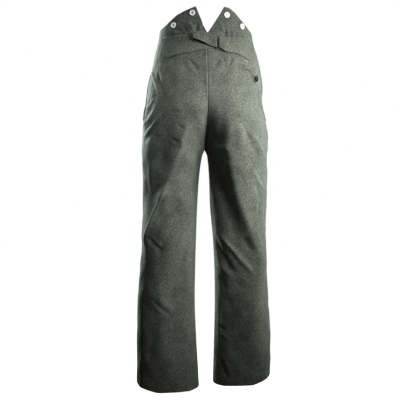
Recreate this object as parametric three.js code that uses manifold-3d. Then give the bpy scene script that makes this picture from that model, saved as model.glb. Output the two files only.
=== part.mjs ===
// Field trousers in wool cloth, worn high, with two brace peaks and a cinch strap at the back.
// Millimetres. +Z is up, +Y is the wearer's back and +X the wearer's left.
// The origin is the middle of the waist, where the wearer holds the garment up.
import * as THREE from "three";
import Module from "manifold-3d";

const cloth = 2; // thickness of the wool
const seamGap = 0.3; // left between two pieces that are sewn together
const roundness = 0.92; // 1 makes each section an ellipse, less makes it squarer
const crotchLevel = -322;
const seatHeight = 190; // from the crotch point up to where the two sides stop parting
const waistJoin = -14; // above this level the rows fan out to the top edge
const hemJoin = -968; // below this level the rows fan out to the hem
const ringLength = 520; // length once round from centre back to centre front, for the folds
const whiteButton = 17; // diameters of the three sorts of button
const darkButton = 18;
const waistButton = 20;

// Half-widths out and in from the centre seams, depths to back and front, each leg's step back.
const sections = [
  { z: 110, outL: 127, outR: 128, inL: 0, inR: 0, back: 121, front: 108, stepL: 0, stepR: 0 },
  { z: 40, outL: 138, outR: 144, inL: 0, inR: 0, back: 112, front: 104, stepL: 0, stepR: 0 },
  { z: 0, outL: 145, outR: 152, inL: 0, inR: 0, back: 109, front: 104, stepL: 0, stepR: 0 },
  { z: -60, outL: 159, outR: 169, inL: 0, inR: 0, back: 121, front: 113, stepL: 0, stepR: 0 },
  { z: -120, outL: 169, outR: 176, inL: 0, inR: 0, back: 137, front: 121, stepL: 0, stepR: 0 },
  { z: -180, outL: 177, outR: 178, inL: 0, inR: 0, back: 146, front: 125, stepL: 0, stepR: 0 },
  { z: -240, outL: 187, outR: 189, inL: 0, inR: 0, back: 142, front: 124, stepL: 0, stepR: 0 },
  { z: -322, outL: 195, outR: 196, inL: 0, inR: 0, back: 124, front: 116, stepL: 0, stepR: 0 },
  { z: -342, outL: 195, outR: 193, inL: 8, inR: 8, back: 119, front: 114, stepL: 1, stepR: 0 },
  { z: -400, outL: 192, outR: 194, inL: 17, inR: 14, back: 107, front: 107, stepL: 3, stepR: -2 },
  { z: -500, outL: 192, outR: 192, inL: 24, inR: 18, back: 91, front: 97, stepL: 7, stepR: -4 },
  { z: -600, outL: 194, outR: 191, inL: 28, inR: 27, back: 80, front: 86, stepL: 11, stepR: -6 },
  { z: -700, outL: 200, outR: 194, inL: 31, inR: 32, back: 72, front: 77, stepL: 15, stepR: -8 },
  { z: -800, outL: 207, outR: 201, inL: 32, inR: 33, back: 66, front: 68, stepL: 19, stepR: -10 },
  { z: -900, outL: 209, outR: 206, inL: 28, inR: 31, back: 61, front: 60, stepL: 23, stepR: -12 },
  { z: -1000, outL: 209, outR: 207, inL: 22, inR: 28, back: 57, front: 52, stepL: 27, stepR: -14 },
  { z: -1080, outL: 209, outR: 207, inL: 18, inR: 26, back: 55, front: 48, stepL: 30, stepR: -16 },
];

// Top edge of each side: 0 round is centre back, 0.5 the outermost point, 1 centre front.
const topEdge = {
  L: [
    { round: 0, z: 20 },
    { round: 0.03, z: 54 },
    { round: 0.078, z: 99 },
    { round: 0.11, z: 94 },
    { round: 0.168, z: 86 },
    { round: 0.232, z: 76 },
    { round: 0.29, z: 62 },
    { round: 0.36, z: 49 },
    { round: 0.44, z: 41 },
    { round: 0.56, z: 46 },
    { round: 0.64, z: 45 },
    { round: 0.8, z: 38 },
    { round: 1, z: 34 },
  ],
  R: [
    { round: 0, z: 20 },
    { round: 0.045, z: 54 },
    { round: 0.117, z: 99 },
    { round: 0.156, z: 97 },
    { round: 0.206, z: 86 },
    { round: 0.26, z: 67 },
    { round: 0.325, z: 50 },
    { round: 0.375, z: 39 },
    { round: 0.43, z: 36 },
    { round: 0.7, z: 36 },
    { round: 1, z: 34 },
  ],
};
const peakRound = { L: 0.078, R: 0.117 };

// Hem line of each leg, longest at the heel and hitched up at the outside of the foot.
const hemLine = {
  L: [
    { round: 0, z: -1049 },
    { round: 0.14, z: -1058 },
    { round: 0.3, z: -1062 },
    { round: 0.42, z: -1048 },
    { round: 0.52, z: -1032 },
    { round: 0.7, z: -1029 },
    { round: 0.85, z: -1034 },
    { round: 1, z: -1049 },
  ],
  R: [
    { round: 0, z: -1045 },
    { round: 0.14, z: -1052 },
    { round: 0.3, z: -1050 },
    { round: 0.42, z: -1030 },
    { round: 0.52, z: -1012 },
    { round: 0.7, z: -1007 },
    { round: 0.85, z: -1021 },
    { round: 1, z: -1045 },
  ],
};

// Where the outseam lies round each side: behind the hip bone at the waist, outermost at the hem.
const outseam = [
  { z: 110, L: 0.4, R: 0.43 },
  { z: 0, L: 0.39, R: 0.42 },
  { z: -100, L: 0.39, R: 0.43 },
  { z: -250, L: 0.42, R: 0.45 },
  { z: -500, L: 0.47, R: 0.47 },
  { z: -800, L: 0.5, R: 0.49 },
  { z: -1080, L: 0.5, R: 0.5 },
];

// Broad folds: a ridge where depth is positive, a trough where it is negative.
const folds = [
  // pocket bags standing out at the hips
  { side: "L", round: 0.48, z: -140, toRound: 0.46, toZ: -215, width: 42, depth: 4 },
  { side: "R", round: 0.5, z: -112, toRound: 0.52, toZ: -132, width: 28, depth: 4 },
  // left leg from behind: a long trough down the thigh between two ridges
  { side: "L", round: 0.25, z: -250, toRound: 0.3, toZ: -362, width: 34, depth: -6 },
  { side: "L", round: 0.3, z: -362, toRound: 0.31, toZ: -480, width: 34, depth: -5 },
  { side: "L", round: 0.15, z: -330, toRound: 0.21, toZ: -470, width: 38, depth: 4 },
  { side: "L", round: 0.27, z: -420, toRound: 0.43, toZ: -579, width: 26, depth: 5 },
  { side: "L", round: 0.2, z: -700, toRound: 0.25, toZ: -890, width: 45, depth: -4 },
  { side: "L", round: 0.4, z: -780, toRound: 0.36, toZ: -960, width: 40, depth: 4 },
  // right leg from behind: a deep trough slanting out from the fork to behind the knee
  { side: "R", round: 0.08, z: -340, toRound: 0.147, toZ: -436, width: 34, depth: -7 },
  { side: "R", round: 0.147, z: -436, toRound: 0.24, toZ: -640, width: 36, depth: -7 },
  { side: "R", round: 0.195, z: -332, toRound: 0.24, toZ: -500, width: 30, depth: 4 },
  { side: "R", round: 0.27, z: -560, toRound: 0.38, toZ: -666, width: 30, depth: 5 },
  { side: "R", round: 0.38, z: -640, toRound: 0.34, toZ: -960, width: 38, depth: 4 },
  { side: "R", round: 0.17, z: -760, toRound: 0.15, toZ: -950, width: 45, depth: -4 },
  // fronts: pulls down from the fork, slack over the knees and a soft line down each shin
  { side: "L", round: 0.9, z: -330, toRound: 0.72, toZ: -440, width: 34, depth: -6 },
  { side: "R", round: 0.91, z: -325, toRound: 0.7, toZ: -420, width: 34, depth: -6 },
  { side: "L", round: 0.88, z: -560, toRound: 0.66, toZ: -625, width: 30, depth: 4 },
  { side: "R", round: 0.86, z: -625, toRound: 0.62, toZ: -570, width: 30, depth: 4 },
  { side: "L", round: 0.76, z: -700, toRound: 0.78, toZ: -940, width: 40, depth: 4 },
  { side: "R", round: 0.74, z: -690, toRound: 0.77, toZ: -930, width: 40, depth: 4 },
  { side: "L", round: 0.72, z: -70, toRound: 0.68, toZ: -190, width: 38, depth: -4 },
  { side: "R", round: 0.7, z: -80, toRound: 0.67, toZ: -180, width: 38, depth: -4 },
];

const rows = [
  { level: 40, count: 7, to: waistJoin },
  { level: waistJoin, count: 9, to: -232 },
  { level: -232, count: 4, to: -300 },
  { level: -300, count: 2, to: -317 },
  { level: -317, count: 1, to: crotchLevel },
  { level: crotchLevel, count: 4, to: -400 },
  { level: -400, count: 20, to: hemJoin },
  { level: hemJoin, count: 3, to: -1040 },
];

const wool = { color: 0x767c6f, roughness: 0.95, metalness: 0 };
const woolLight = { color: 0x80867a, roughness: 0.95, metalness: 0 };
const pressedWhite = { color: 0xe4e6e2, roughness: 0.4, metalness: 0 };
const pressedDark = { color: 0x1b1c1c, roughness: 0.45, metalness: 0 };
const darkSteel = { color: 0x2a2b2b, roughness: 0.45, metalness: 0.9 };

const { Manifold } = await loadSolids();
const root = new THREE.Group();
root.name = "field_trousers";

async function loadSolids() {
  const wasm = await Module();
  wasm.setup();
  return wasm;
}

// Value of a column at a position, on a smooth curve through the rows, which run downwards.
function follow(table, column, z) {
  const last = table.length - 1;
  let i = table.findIndex((row) => row.z < z) - 1;
  if (i === -2) i = last - 1;
  i = THREE.MathUtils.clamp(i, 0, last - 1);
  const slope = (j) => {
    const low = table[Math.max(0, j - 1)];
    const high = table[Math.min(last, j + 1)];
    return (high[column] - low[column]) / (high.z - low.z);
  };
  const span = table[i + 1].z - table[i].z;
  const t = THREE.MathUtils.clamp((z - table[i].z) / span, 0, 1);
  const ease = t * t * (3 - 2 * t);
  const lift = span * t * (1 - t) * (slope(i) * (1 - t) - slope(i + 1) * t);
  return table[i][column] + (table[i + 1][column] - table[i][column]) * ease + lift;
}

// Height of an edge at a place round the side, in straight lines between its rows.
function edgeHeight(edge, round) {
  const i = Math.max(1, edge.findIndex((row) => row.round >= round));
  const share = (round - edge[i - 1].round) / (edge[i].round - edge[i - 1].round);
  return THREE.MathUtils.lerp(edge[i - 1].z, edge[i].z, share);
}

const squared = (x) => Math.sign(x) * Math.abs(x) ** roundness;

// One side's section at a level: its middle, half-axes and how far it sweeps each way.
function sectionAt(side, z) {
  const out = follow(sections, `out${side}`, z);
  const parted = 1 - THREE.MathUtils.smoothstep(z, crotchLevel, crotchLevel + seatHeight);
  const inside = z < crotchLevel ? Math.max(0, follow(sections, `in${side}`, z)) : 0;
  const width = z < crotchLevel ? (out - inside) / 2 : out / (1 + parted);
  return {
    x: out - width,
    width,
    back: follow(sections, "back", z),
    front: follow(sections, "front", z),
    step: follow(sections, `step${side}`, z),
    sweep: Math.PI - Math.acos(parted ** (1 / roundness)),
  };
}

function plainPoint(side, round, z) {
  const s = sectionAt(side, z);
  const angle = (2 * round - 1) * s.sweep;
  const depth = angle < 0 ? s.back : s.front;
  const x = seamGap / 2 + s.x + s.width * squared(Math.cos(angle));
  const y = s.step - depth * squared(Math.sin(angle));
  return new THREE.Vector3(side === "L" ? x : -x, y, z);
}

// Level unit vector straight out of the cloth.
function outward(side, round, z, pointAt) {
  const a = pointAt(side, Math.max(0, round - 0.004), z);
  const b = pointAt(side, Math.min(1, round + 0.004), z);
  const along = b.sub(a).normalize();
  const turn = side === "L" ? 1 : -1;
  return new THREE.Vector3(-along.y * turn, along.x * turn, 0);
}

function foldDepth(side, round, z) {
  let depth = 0;
  for (const fold of folds) {
    if (fold.side !== side) continue;
    const dx = (fold.toRound - fold.round) * ringLength;
    const dz = fold.toZ - fold.z;
    const px = (round - fold.round) * ringLength;
    const pz = z - fold.z;
    const t = THREE.MathUtils.clamp((px * dx + pz * dz) / (dx * dx + dz * dz), 0, 1);
    const away = Math.hypot(px - t * dx, pz - t * dz) / fold.width;
    depth += fold.depth * Math.exp(-away * away);
  }
  const fromSeam = Math.min(round, 1 - round) / 0.06;
  return depth * THREE.MathUtils.smoothstep(fromSeam, 0, 1);
}

// Point on the outer face of the cloth.
function clothPoint(side, round, z) {
  const depth = foldDepth(side, round, z);
  const point = plainPoint(side, round, z);
  return point.addScaledVector(outward(side, round, z, plainPoint), depth);
}

// Point a given way off the outer face, outside for positive and inside for negative.
function offCloth(side, round, z, lift) {
  return clothPoint(side, round, z).addScaledVector(outward(side, round, z, clothPoint), lift);
}

// Place round the back of a level where the cloth has a given width from centre back.
function roundAt(side, x, z) {
  const s = sectionAt(side, z);
  const across = THREE.MathUtils.clamp((Math.abs(x) - seamGap / 2 - s.x) / s.width, -1, 1);
  const angle = Math.acos(Math.sign(across) * Math.abs(across) ** (1 / roundness));
  return (1 - angle / s.sweep) / 2;
}

// Point off the back by width from centre back, positive on the wearer's left.
function offBack(x, z, lift) {
  const side = x < 0 ? "R" : "L";
  return offCloth(side, roundAt(side, x, z), z, lift);
}

// Closed body between two grids of points with the same rows and columns.
function between(outer, inner) {
  const height = outer.length;
  const width = outer[0].length;
  const points = [...outer.flat(), ...inner.flat()];
  const faces = [];
  const at = (layer, j, i) => layer * height * width + j * width + i;
  const quad = (a, b, c, d) => faces.push(a, b, c, a, c, d);
  for (let j = 0; j < height - 1; j++) {
    for (let i = 0; i < width - 1; i++) {
      quad(at(0, j, i), at(0, j, i + 1), at(0, j + 1, i + 1), at(0, j + 1, i));
      quad(at(1, j, i), at(1, j + 1, i), at(1, j + 1, i + 1), at(1, j, i + 1));
    }
  }
  for (let i = 0; i < width - 1; i++) {
    quad(at(0, 0, i), at(1, 0, i), at(1, 0, i + 1), at(0, 0, i + 1));
    quad(at(0, height - 1, i), at(0, height - 1, i + 1), at(1, height - 1, i + 1), at(1, height - 1, i));
  }
  for (let j = 0; j < height - 1; j++) {
    quad(at(0, j, 0), at(0, j + 1, 0), at(1, j + 1, 0), at(1, j, 0));
    quad(at(0, j, width - 1), at(1, j, width - 1), at(1, j + 1, width - 1), at(0, j + 1, width - 1));
  }
  return closed(points, faces);
}

// Geometry from points and faces, turned to face out.
function closed(points, faces) {
  let volume = 0;
  for (let i = 0; i < faces.length; i += 3) {
    const [a, b, c] = [points[faces[i]], points[faces[i + 1]], points[faces[i + 2]]];
    volume += a.dot(new THREE.Vector3().crossVectors(b, c));
  }
  if (volume < 0) {
    for (let i = 0; i < faces.length; i += 3) {
      [faces[i], faces[i + 1]] = [faces[i + 1], faces[i]];
    }
  }
  const geometry = new THREE.BufferGeometry();
  const numbers = points.flatMap((p) => p.toArray());
  geometry.setAttribute("position", new THREE.Float32BufferAttribute(numbers, 3));
  geometry.setIndex(faces);
  return geometry;
}

function add(name, geometry, finish) {
  geometry.computeVertexNormals();
  const mesh = new THREE.Mesh(geometry, new THREE.MeshStandardMaterial(finish));
  mesh.name = name;
  root.add(mesh);
}

// Levels of all rows, each with its share of the way into the fan at the waist or the hem.
const levels = rows.flatMap((band) =>
  Array.from({ length: band.count }, (_, j) => THREE.MathUtils.lerp(band.level, band.to, j / band.count)),
);
levels.push(rows[rows.length - 1].to);

// Height of a row at a place round the side, fanned out to the top edge and the hem.
function rowHeight(side, round, level) {
  if (level > waistJoin) {
    const share = (level - waistJoin) / (rows[0].level - waistJoin);
    return THREE.MathUtils.lerp(waistJoin, edgeHeight(topEdge[side], round), share);
  }
  if (level < hemJoin) {
    const share = (level - hemJoin) / (levels[levels.length - 1] - hemJoin);
    return THREE.MathUtils.lerp(hemJoin, edgeHeight(hemLine[side], round), share);
  }
  return level;
}

// Half of the seam gap at a place, as a share of the way round.
function gapRound(side, round, z) {
  const a = plainPoint(side, Math.max(0, round - 0.002), z);
  const b = plainPoint(side, Math.min(1, round + 0.002), z);
  const reach = round > 0.002 && round < 0.998 ? 0.004 : 0.002;
  return (seamGap / 2) * (reach / a.distanceTo(b));
}

// A panel between two seams; columns give shares of the way from the first to the second.
function panel(name, side, columns, isBack) {
  const outer = [];
  const inner = [];
  for (const level of levels) {
    const seam = follow(outseam, side, level);
    const inLeg = level <= crotchLevel;
    const gapOut = gapRound(side, seam, level);
    const gapIn = inLeg ? gapRound(side, isBack ? 0 : 1, level) : 0;
    const from = isBack ? gapIn : seam + gapOut;
    const to = isBack ? seam - gapOut : 1 - gapIn;
    const places = columns.map((share) => {
      const round = THREE.MathUtils.lerp(from, to, share);
      return { round, z: rowHeight(side, round, level) };
    });
    outer.push(places.map((p) => offCloth(side, p.round, p.z, 0)));
    inner.push(places.map((p) => offCloth(side, p.round, p.z, -cloth)));
  }
  add(name, between(outer, inner), wool);
}

// Shares across a back panel with one column exactly at its peak.
function backColumns(side) {
  const peak = peakRound[side] / follow(outseam, side, rows[0].level);
  const rest = Array.from({ length: 10 }, (_, i) => peak + ((1 - peak) * (i + 1)) / 10);
  return [0, peak / 2, peak, ...rest];
}

const frontColumns = Array.from({ length: 12 }, (_, i) => i / 11);
for (const [side, word] of [["L", "left"], ["R", "right"]]) {
  panel(`back_${word}`, side, backColumns(side), true);
  panel(`front_${word}`, side, frontColumns, false);
}

const layGap = 0.75; // under a piece that lies on the rounded cloth
const underLift = layGap + cloth / 2; // middle of a layer that lies on the cloth
const overLift = underLift + cloth + seamGap; // middle of a second layer on top of it
const foldRadius = 3; // of the middle of the cloth where it turns round a bar
const barLift = underLift + foldRadius;
const wireRadius = 1.2;
const strapBar = -26; // widths from centre back of the buckle's two bars
const tabBar = -36;

// Strip on the back from rows of width, top and bottom; away is the side its outer skin faces.
function strip(name, steps, finish) {
  const skin = (side) =>
    steps.map((row) => {
      const x = row.x + (row.awayX ?? 0) * side;
      const lift = row.lift + row.away * side;
      return [offBack(x, row.top, lift), offBack(x, row.bottom, lift)];
    });
  add(name, between(skin(cloth / 2), skin(-cloth / 2)), finish);
}

// Half turn of a strip round a bar, from under it to over it.
function halfTurn(bar, toward, top, bottom) {
  return [-90, -54, -18, 18, 54, 90].map((degrees) => {
    const awayX = toward * Math.cos(THREE.MathUtils.degToRad(degrees));
    const away = Math.sin(THREE.MathUtils.degToRad(degrees));
    return { x: bar + awayX * foldRadius, top, bottom, lift: barLift + away * foldRadius, awayX, away };
  });
}

// Left tab: from its stitched end at the side, under the buckle's bar and back as the free end.
const leftUnder = [
  { x: 135, top: 5, bottom: -17 },
  { x: 133.5, top: 11, bottom: -28 },
  { x: 129.5, top: 13, bottom: -39 },
  { x: 123, top: 13, bottom: -47 },
  { x: 114, top: 13, bottom: -52 },
  { x: 103, top: 13.5, bottom: -47.5 },
  { x: 92, top: 14, bottom: -44 },
  { x: 76, top: 13.5, bottom: -41.5 },
  { x: 59, top: 13, bottom: -39 },
  { x: 40, top: 13, bottom: -35 },
  { x: 20, top: 12.5, bottom: -31 },
  { x: 2, top: 11, bottom: -28 },
  { x: -13, top: 9, bottom: -25.5 },
].map((row) => ({ ...row, lift: underLift, away: -1 }));
const freeEnd = [
  { x: -13, top: 15, bottom: -20.5, lift: 5.4 },
  { x: 0, top: 21, bottom: -13.5, lift: overLift + 0.1 },
  { x: 13, top: 22.5, bottom: -6.5, lift: overLift + 0.3 },
  { x: 27, top: 23, bottom: -0.5, lift: overLift + 1.6 },
  { x: 36, top: 23, bottom: 1.5, lift: overLift + 3 },
  { x: 40, top: 20, bottom: 6, lift: overLift + 3.8 },
].map((row) => ({ ...row, away: 1 }));
strip("cinch_tab_left", [...leftUnder, ...halfTurn(strapBar, -1, 8, -22.5), ...freeEnd], woolLight);

// Right tab: a short end turned under behind the bar, then out to its stitched end.
const rightUnder = [
  { x: -54, top: 2, bottom: -21 },
  { x: -45, top: 3.5, bottom: -22 },
].map((row) => ({ ...row, lift: underLift, away: -1 }));
const rightOver = [
  { x: -44, top: 6, bottom: -29, lift: 5.9 },
  { x: -54, top: 6.5, bottom: -34.5, lift: overLift + 0.3 },
  { x: -62, top: 7, bottom: -36, lift: 2.6 },
  { x: -70, top: 7.5, bottom: -36.5, lift: underLift },
  { x: -85, top: 8.5, bottom: -38, lift: underLift },
  { x: -95, top: 9.5, bottom: -41, lift: underLift },
  { x: -111, top: 10, bottom: -48, lift: underLift },
  { x: -127, top: 10, bottom: -55, lift: underLift },
  { x: -136, top: 9, bottom: -49, lift: underLift },
  { x: -142, top: 7, bottom: -42, lift: underLift },
  { x: -145.5, top: 2, bottom: -34, lift: underLift },
].map((row) => ({ ...row, away: 1 }));
strip("cinch_tab_right", [...rightUnder, ...halfTurn(tabBar, 1, 5, -23), ...rightOver], woolLight);

// Geometry of a solid made by joining and cutting.
function fromSolid(solid) {
  const mesh = solid.getMesh();
  const points = [];
  for (let i = 0; i < mesh.vertProperties.length; i += mesh.numProp) {
    points.push(new THREE.Vector3().fromArray(mesh.vertProperties, i));
  }
  return closed(points, Array.from(mesh.triVerts));
}

const wireSides = 12;

// Round wire between two points.
function wire(from, to) {
  const along = to.clone().sub(from);
  const direction = along.clone().normalize();
  const turn = new THREE.Quaternion().setFromUnitVectors(new THREE.Vector3(0, 0, 1), direction);
  const pose = new THREE.Matrix4().compose(from, turn, new THREE.Vector3(1, 1, 1));
  return Manifold.cylinder(along.length(), wireRadius, wireRadius, wireSides).transform(pose.elements);
}

// Buckle: a wire frame with one upright bar for the strap and one for the right tab.
const frameTop = 10.5;
const frameBottom = -25.5;
const corners = [
  offBack(strapBar, frameTop, barLift),
  offBack(tabBar, frameTop, barLift),
  offBack(tabBar, frameBottom, barLift),
  offBack(strapBar, frameBottom, barLift),
];
const wires = corners.map((corner, i) => wire(corner, corners[(i + 1) % 4]));
const knuckles = corners.map((c) => Manifold.sphere(wireRadius, wireSides).translate(c.toArray()));
add("cinch_buckle", fromSolid(Manifold.union([...wires, ...knuckles])), darkSteel);

const rim = { bevel: 0.8, outer: 2, height: 2.8, inner: 2, floorStart: 2.8, floor: 1.8, sides: 20 };
const holes = { count: 4, radius: 0.9, spacing: 2.4, depth: 4, below: -1, sides: 6 };

// Sewn-through button: a raised rim round a flat floor with four holes, its foot on the cloth.
function button(name, side, round, z, diameter, lift, finish) {
  const radius = diameter / 2;
  const profile = [
    [0, 0],
    [radius - rim.bevel, 0],
    [radius, rim.bevel],
    [radius, rim.outer],
    [radius - rim.bevel, rim.height],
    [radius - rim.inner, rim.height],
    [radius - rim.floorStart, rim.floor],
    [0, rim.floor],
  ];
  let solid = Manifold.revolve([profile], rim.sides);
  for (let i = 0; i < holes.count; i++) {
    const angle = ((i + 0.5) * 2 * Math.PI) / holes.count;
    const place = [holes.spacing * Math.cos(angle), holes.spacing * Math.sin(angle), holes.below];
    const hole = Manifold.cylinder(holes.depth, holes.radius, holes.radius, holes.sides);
    solid = solid.subtract(hole.translate(place));
  }
  const across = offCloth(side, round + 0.01, z, 0).sub(offCloth(side, round - 0.01, z, 0));
  const down = offCloth(side, round, z - 4, 0).sub(offCloth(side, round, z + 4, 0));
  const out = new THREE.Vector3().crossVectors(across, down).normalize();
  if (out.dot(outward(side, round, z, clothPoint)) < 0) out.negate();
  const up = new THREE.Vector3(0, 0, 1).addScaledVector(out, -out.z).normalize();
  const pose = new THREE.Matrix4().makeBasis(new THREE.Vector3().crossVectors(up, out), up, out);
  pose.setPosition(offCloth(side, round, z, 0).addScaledVector(out, lift));
  add(name, fromSolid(solid.transform(pose.elements)), finish);
}

const buttonLift = seamGap + 0.1;
const backButton = (name, x, z) => {
  const side = x < 0 ? "R" : "L";
  button(name, side, roundAt(side, x, z), z, whiteButton, buttonLift, pressedWhite);
};
backButton("back_brace_button_left_inner", 44.5, 80);
backButton("back_brace_button_left_outer", 99, 47);
backButton("back_brace_button_right_inner", -59, 75.5);
backButton("back_brace_button_right_outer", -108, 46);
for (const [side, word] of [["L", "left"], ["R", "right"]]) {
  button(`front_brace_button_${word}_inner`, side, 0.84, 18, whiteButton, buttonLift, pressedWhite);
  button(`front_brace_button_${word}_outer`, side, 0.7, 20, whiteButton, buttonLift, pressedWhite);
}

// Piece laid on the cloth or under it, from a grid of places.
function laid(name, grid, lift, finish) {
  const lifted = (place, up) => offCloth(place.side, place.round, place.z, up);
  const skin = (up) => grid.map((row) => row.map((place) => lifted(place, up)));
  add(name, between(skin(lift + cloth), skin(lift)), finish);
}

// Hip pocket flap: shallow at its ends, with a tongue in the middle for the button.
const flapTop = -72;
const flapEdge = [
  { round: 0.205, bottom: -86 },
  { round: 0.235, bottom: -88.5 },
  { round: 0.262, bottom: -90.5 },
  { round: 0.275, bottom: -97 },
  { round: 0.283, bottom: -114 },
  { round: 0.296, bottom: -124 },
  { round: 0.314, bottom: -128.5 },
  { round: 0.332, bottom: -124 },
  { round: 0.345, bottom: -114 },
  { round: 0.353, bottom: -97 },
  { round: 0.368, bottom: -90.5 },
  { round: 0.402, bottom: -86 },
];
const flapPlace = (row, share) => ({
  side: "R",
  round: row.round,
  z: THREE.MathUtils.lerp(flapTop, row.bottom, share),
});
const flapGrid = flapEdge.map((row) => [0, 0.33, 0.67, 1].map((share) => flapPlace(row, share)));
laid("hip_pocket_flap", flapGrid, layGap, wool);
button("hip_pocket_button", "R", 0.314, -113, darkButton, layGap + cloth + buttonLift, pressedDark);

// Slanted side pockets: a welt along each mouth, from the front of the hip down to the outseam.
const welts = [
  { name: "side_pocket_welt_left", side: "L", top: 0.53, bottom: 0.445 },
  { name: "side_pocket_welt_right", side: "R", top: 0.55, bottom: 0.47 },
];
const weltTop = -92;
const weltBottom = -236;
const weltWidth = 0.026; // as a share of the way round
for (const welt of welts) {
  const grid = [0, 0.1, 0.2, 0.3, 0.4, 0.5, 0.6, 0.7, 0.8, 0.9, 1].map((t) => {
    const round = THREE.MathUtils.lerp(welt.top, welt.bottom, t);
    const z = THREE.MathUtils.lerp(weltTop, weltBottom, t);
    return [0, 0.5, 1].map((s) => ({ side: welt.side, round: round + s * weltWidth, z }));
  });
  laid(welt.name, grid, layGap, wool);
}

// Fly placket on the left front, its lower end curved in to the centre seam.
const flyEdge = [
  { z: 31, width: 36 },
  { z: 12, width: 36 },
  { z: -12, width: 36 },
  { z: -40, width: 36 },
  { z: -70, width: 36 },
  { z: -100, width: 36 },
  { z: -125, width: 35 },
  { z: -142, width: 31 },
  { z: -154, width: 23 },
  { z: -161, width: 12 },
];
const flyGrid = flyEdge.map((row) =>
  [1 / 36, 1 / 3, 2 / 3, 1].map((share) => {
    const round = 1 - roundAt("L", row.width * share, row.z);
    return { side: "L", round, z: row.z };
  }),
);
laid("fly_placket", flyGrid, layGap, wool);
button("waist_button", "L", 0.96, 15, waistButton, layGap + cloth + 2 * buttonLift, pressedDark);

export default root;
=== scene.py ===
import math
import bmesh
import bpy
import numpy as np
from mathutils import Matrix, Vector


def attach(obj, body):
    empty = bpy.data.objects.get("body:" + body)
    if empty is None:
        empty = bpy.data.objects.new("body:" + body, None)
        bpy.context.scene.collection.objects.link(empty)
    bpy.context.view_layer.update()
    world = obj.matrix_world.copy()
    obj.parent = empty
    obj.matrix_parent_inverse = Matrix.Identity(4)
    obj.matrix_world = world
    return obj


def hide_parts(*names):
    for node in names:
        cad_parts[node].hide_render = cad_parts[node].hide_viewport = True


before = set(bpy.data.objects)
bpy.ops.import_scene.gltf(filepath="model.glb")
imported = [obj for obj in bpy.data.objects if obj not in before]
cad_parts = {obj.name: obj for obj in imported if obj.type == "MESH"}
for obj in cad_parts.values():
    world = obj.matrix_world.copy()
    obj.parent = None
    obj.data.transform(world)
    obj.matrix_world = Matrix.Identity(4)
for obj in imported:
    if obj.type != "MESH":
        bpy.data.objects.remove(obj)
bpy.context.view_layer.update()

mm = 0.001  # one millimetre in the scene's metres


def inScene(name, data):
    # a new object that holds the data, linked to the scene
    thing = bpy.data.objects.new(name, data)
    bpy.context.scene.collection.objects.link(thing)
    return thing


# camera behind the wearer, a little to their left, level with the thighs
cameraSet = {
    "turn": 176, "distance": 3.2, "aim": (0.014, 0.0, -0.48), "widthAtAim": 1.24, "sensor": 36,
}
cameraData = bpy.data.cameras.new("camera")
cameraData.sensor_width = cameraSet["sensor"]
cameraData.lens = cameraSet["sensor"] * cameraSet["distance"] / cameraSet["widthAtAim"]
camera = inScene("camera", cameraData)
turn = math.radians(cameraSet["turn"])
aim = Vector(cameraSet["aim"])
camera.location = aim + cameraSet["distance"] * Vector((math.sin(turn), -math.cos(turn), 0))
camera.rotation_euler = (aim - camera.location).to_track_quat("-Z", "Y").to_euler()
bpy.context.scene.camera = camera
print("camera set")

# the garment's form, in millimetres, the same tables as the solids
garment = {
    "roundness": 0.92, "crotchLevel": -322.0, "seatHeight": 190.0,
    "waistJoin": -14.0, "topLevel": 40.0, "hemJoin": -968.0, "hemLevel": -1040.0, "ringLength": 520.0,
}
sections = {  # level, then half-widths out and in, depths to back and front, each leg's step back
    "z": (110, 40, 0, -60, -120, -180, -240, -322, -342, -400, -500, -600, -700, -800, -900, -1000, -1080),
    "outL": (127, 138, 145, 159, 169, 177, 187, 195, 195, 192, 192, 194, 200, 207, 209, 209, 209),
    "outR": (128, 144, 152, 169, 176, 178, 189, 196, 193, 194, 192, 191, 194, 201, 206, 207, 207),
    "inL": (0, 0, 0, 0, 0, 0, 0, 0, 8, 17, 24, 28, 31, 32, 28, 22, 18),
    "inR": (0, 0, 0, 0, 0, 0, 0, 0, 8, 14, 18, 27, 32, 33, 31, 28, 26),
    "back": (121, 112, 109, 121, 137, 146, 142, 124, 119, 107, 91, 80, 72, 66, 61, 57, 55),
    "front": (108, 104, 104, 113, 121, 125, 124, 116, 114, 107, 97, 86, 77, 68, 60, 52, 48),
    "stepL": (0, 0, 0, 0, 0, 0, 0, 0, 1, 3, 7, 11, 15, 19, 23, 27, 30),
    "stepR": (0, 0, 0, 0, 0, 0, 0, 0, 0, -2, -4, -6, -8, -10, -12, -14, -16),
}
topEdge = {  # place round the side, then height: 0 centre back, 0.5 outermost, 1 centre front
    "L": ((0, 0.03, 0.078, 0.11, 0.168, 0.232, 0.29, 0.36, 0.44, 0.56, 0.64, 0.8, 1),
          (20, 54, 99, 94, 86, 76, 62, 49, 41, 46, 45, 38, 34)),
    "R": ((0, 0.045, 0.117, 0.156, 0.206, 0.26, 0.325, 0.375, 0.43, 0.7, 1),
          (20, 54, 99, 97, 86, 67, 50, 39, 36, 36, 34)),
}
peakRound = {"L": 0.078, "R": 0.117}
hemLine = {
    "L": ((0, 0.14, 0.3, 0.42, 0.52, 0.7, 0.85, 1),
          (-1049, -1058, -1062, -1048, -1032, -1029, -1034, -1049)),
    "R": ((0, 0.14, 0.3, 0.42, 0.52, 0.7, 0.85, 1),
          (-1045, -1052, -1050, -1030, -1012, -1007, -1021, -1045)),
}
outseam = {
    "z": (110, 0, -100, -250, -500, -800, -1080),
    "L": (0.4, 0.39, 0.39, 0.42, 0.47, 0.5, 0.5),
    "R": (0.43, 0.42, 0.43, 0.45, 0.47, 0.49, 0.5),
}


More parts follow.
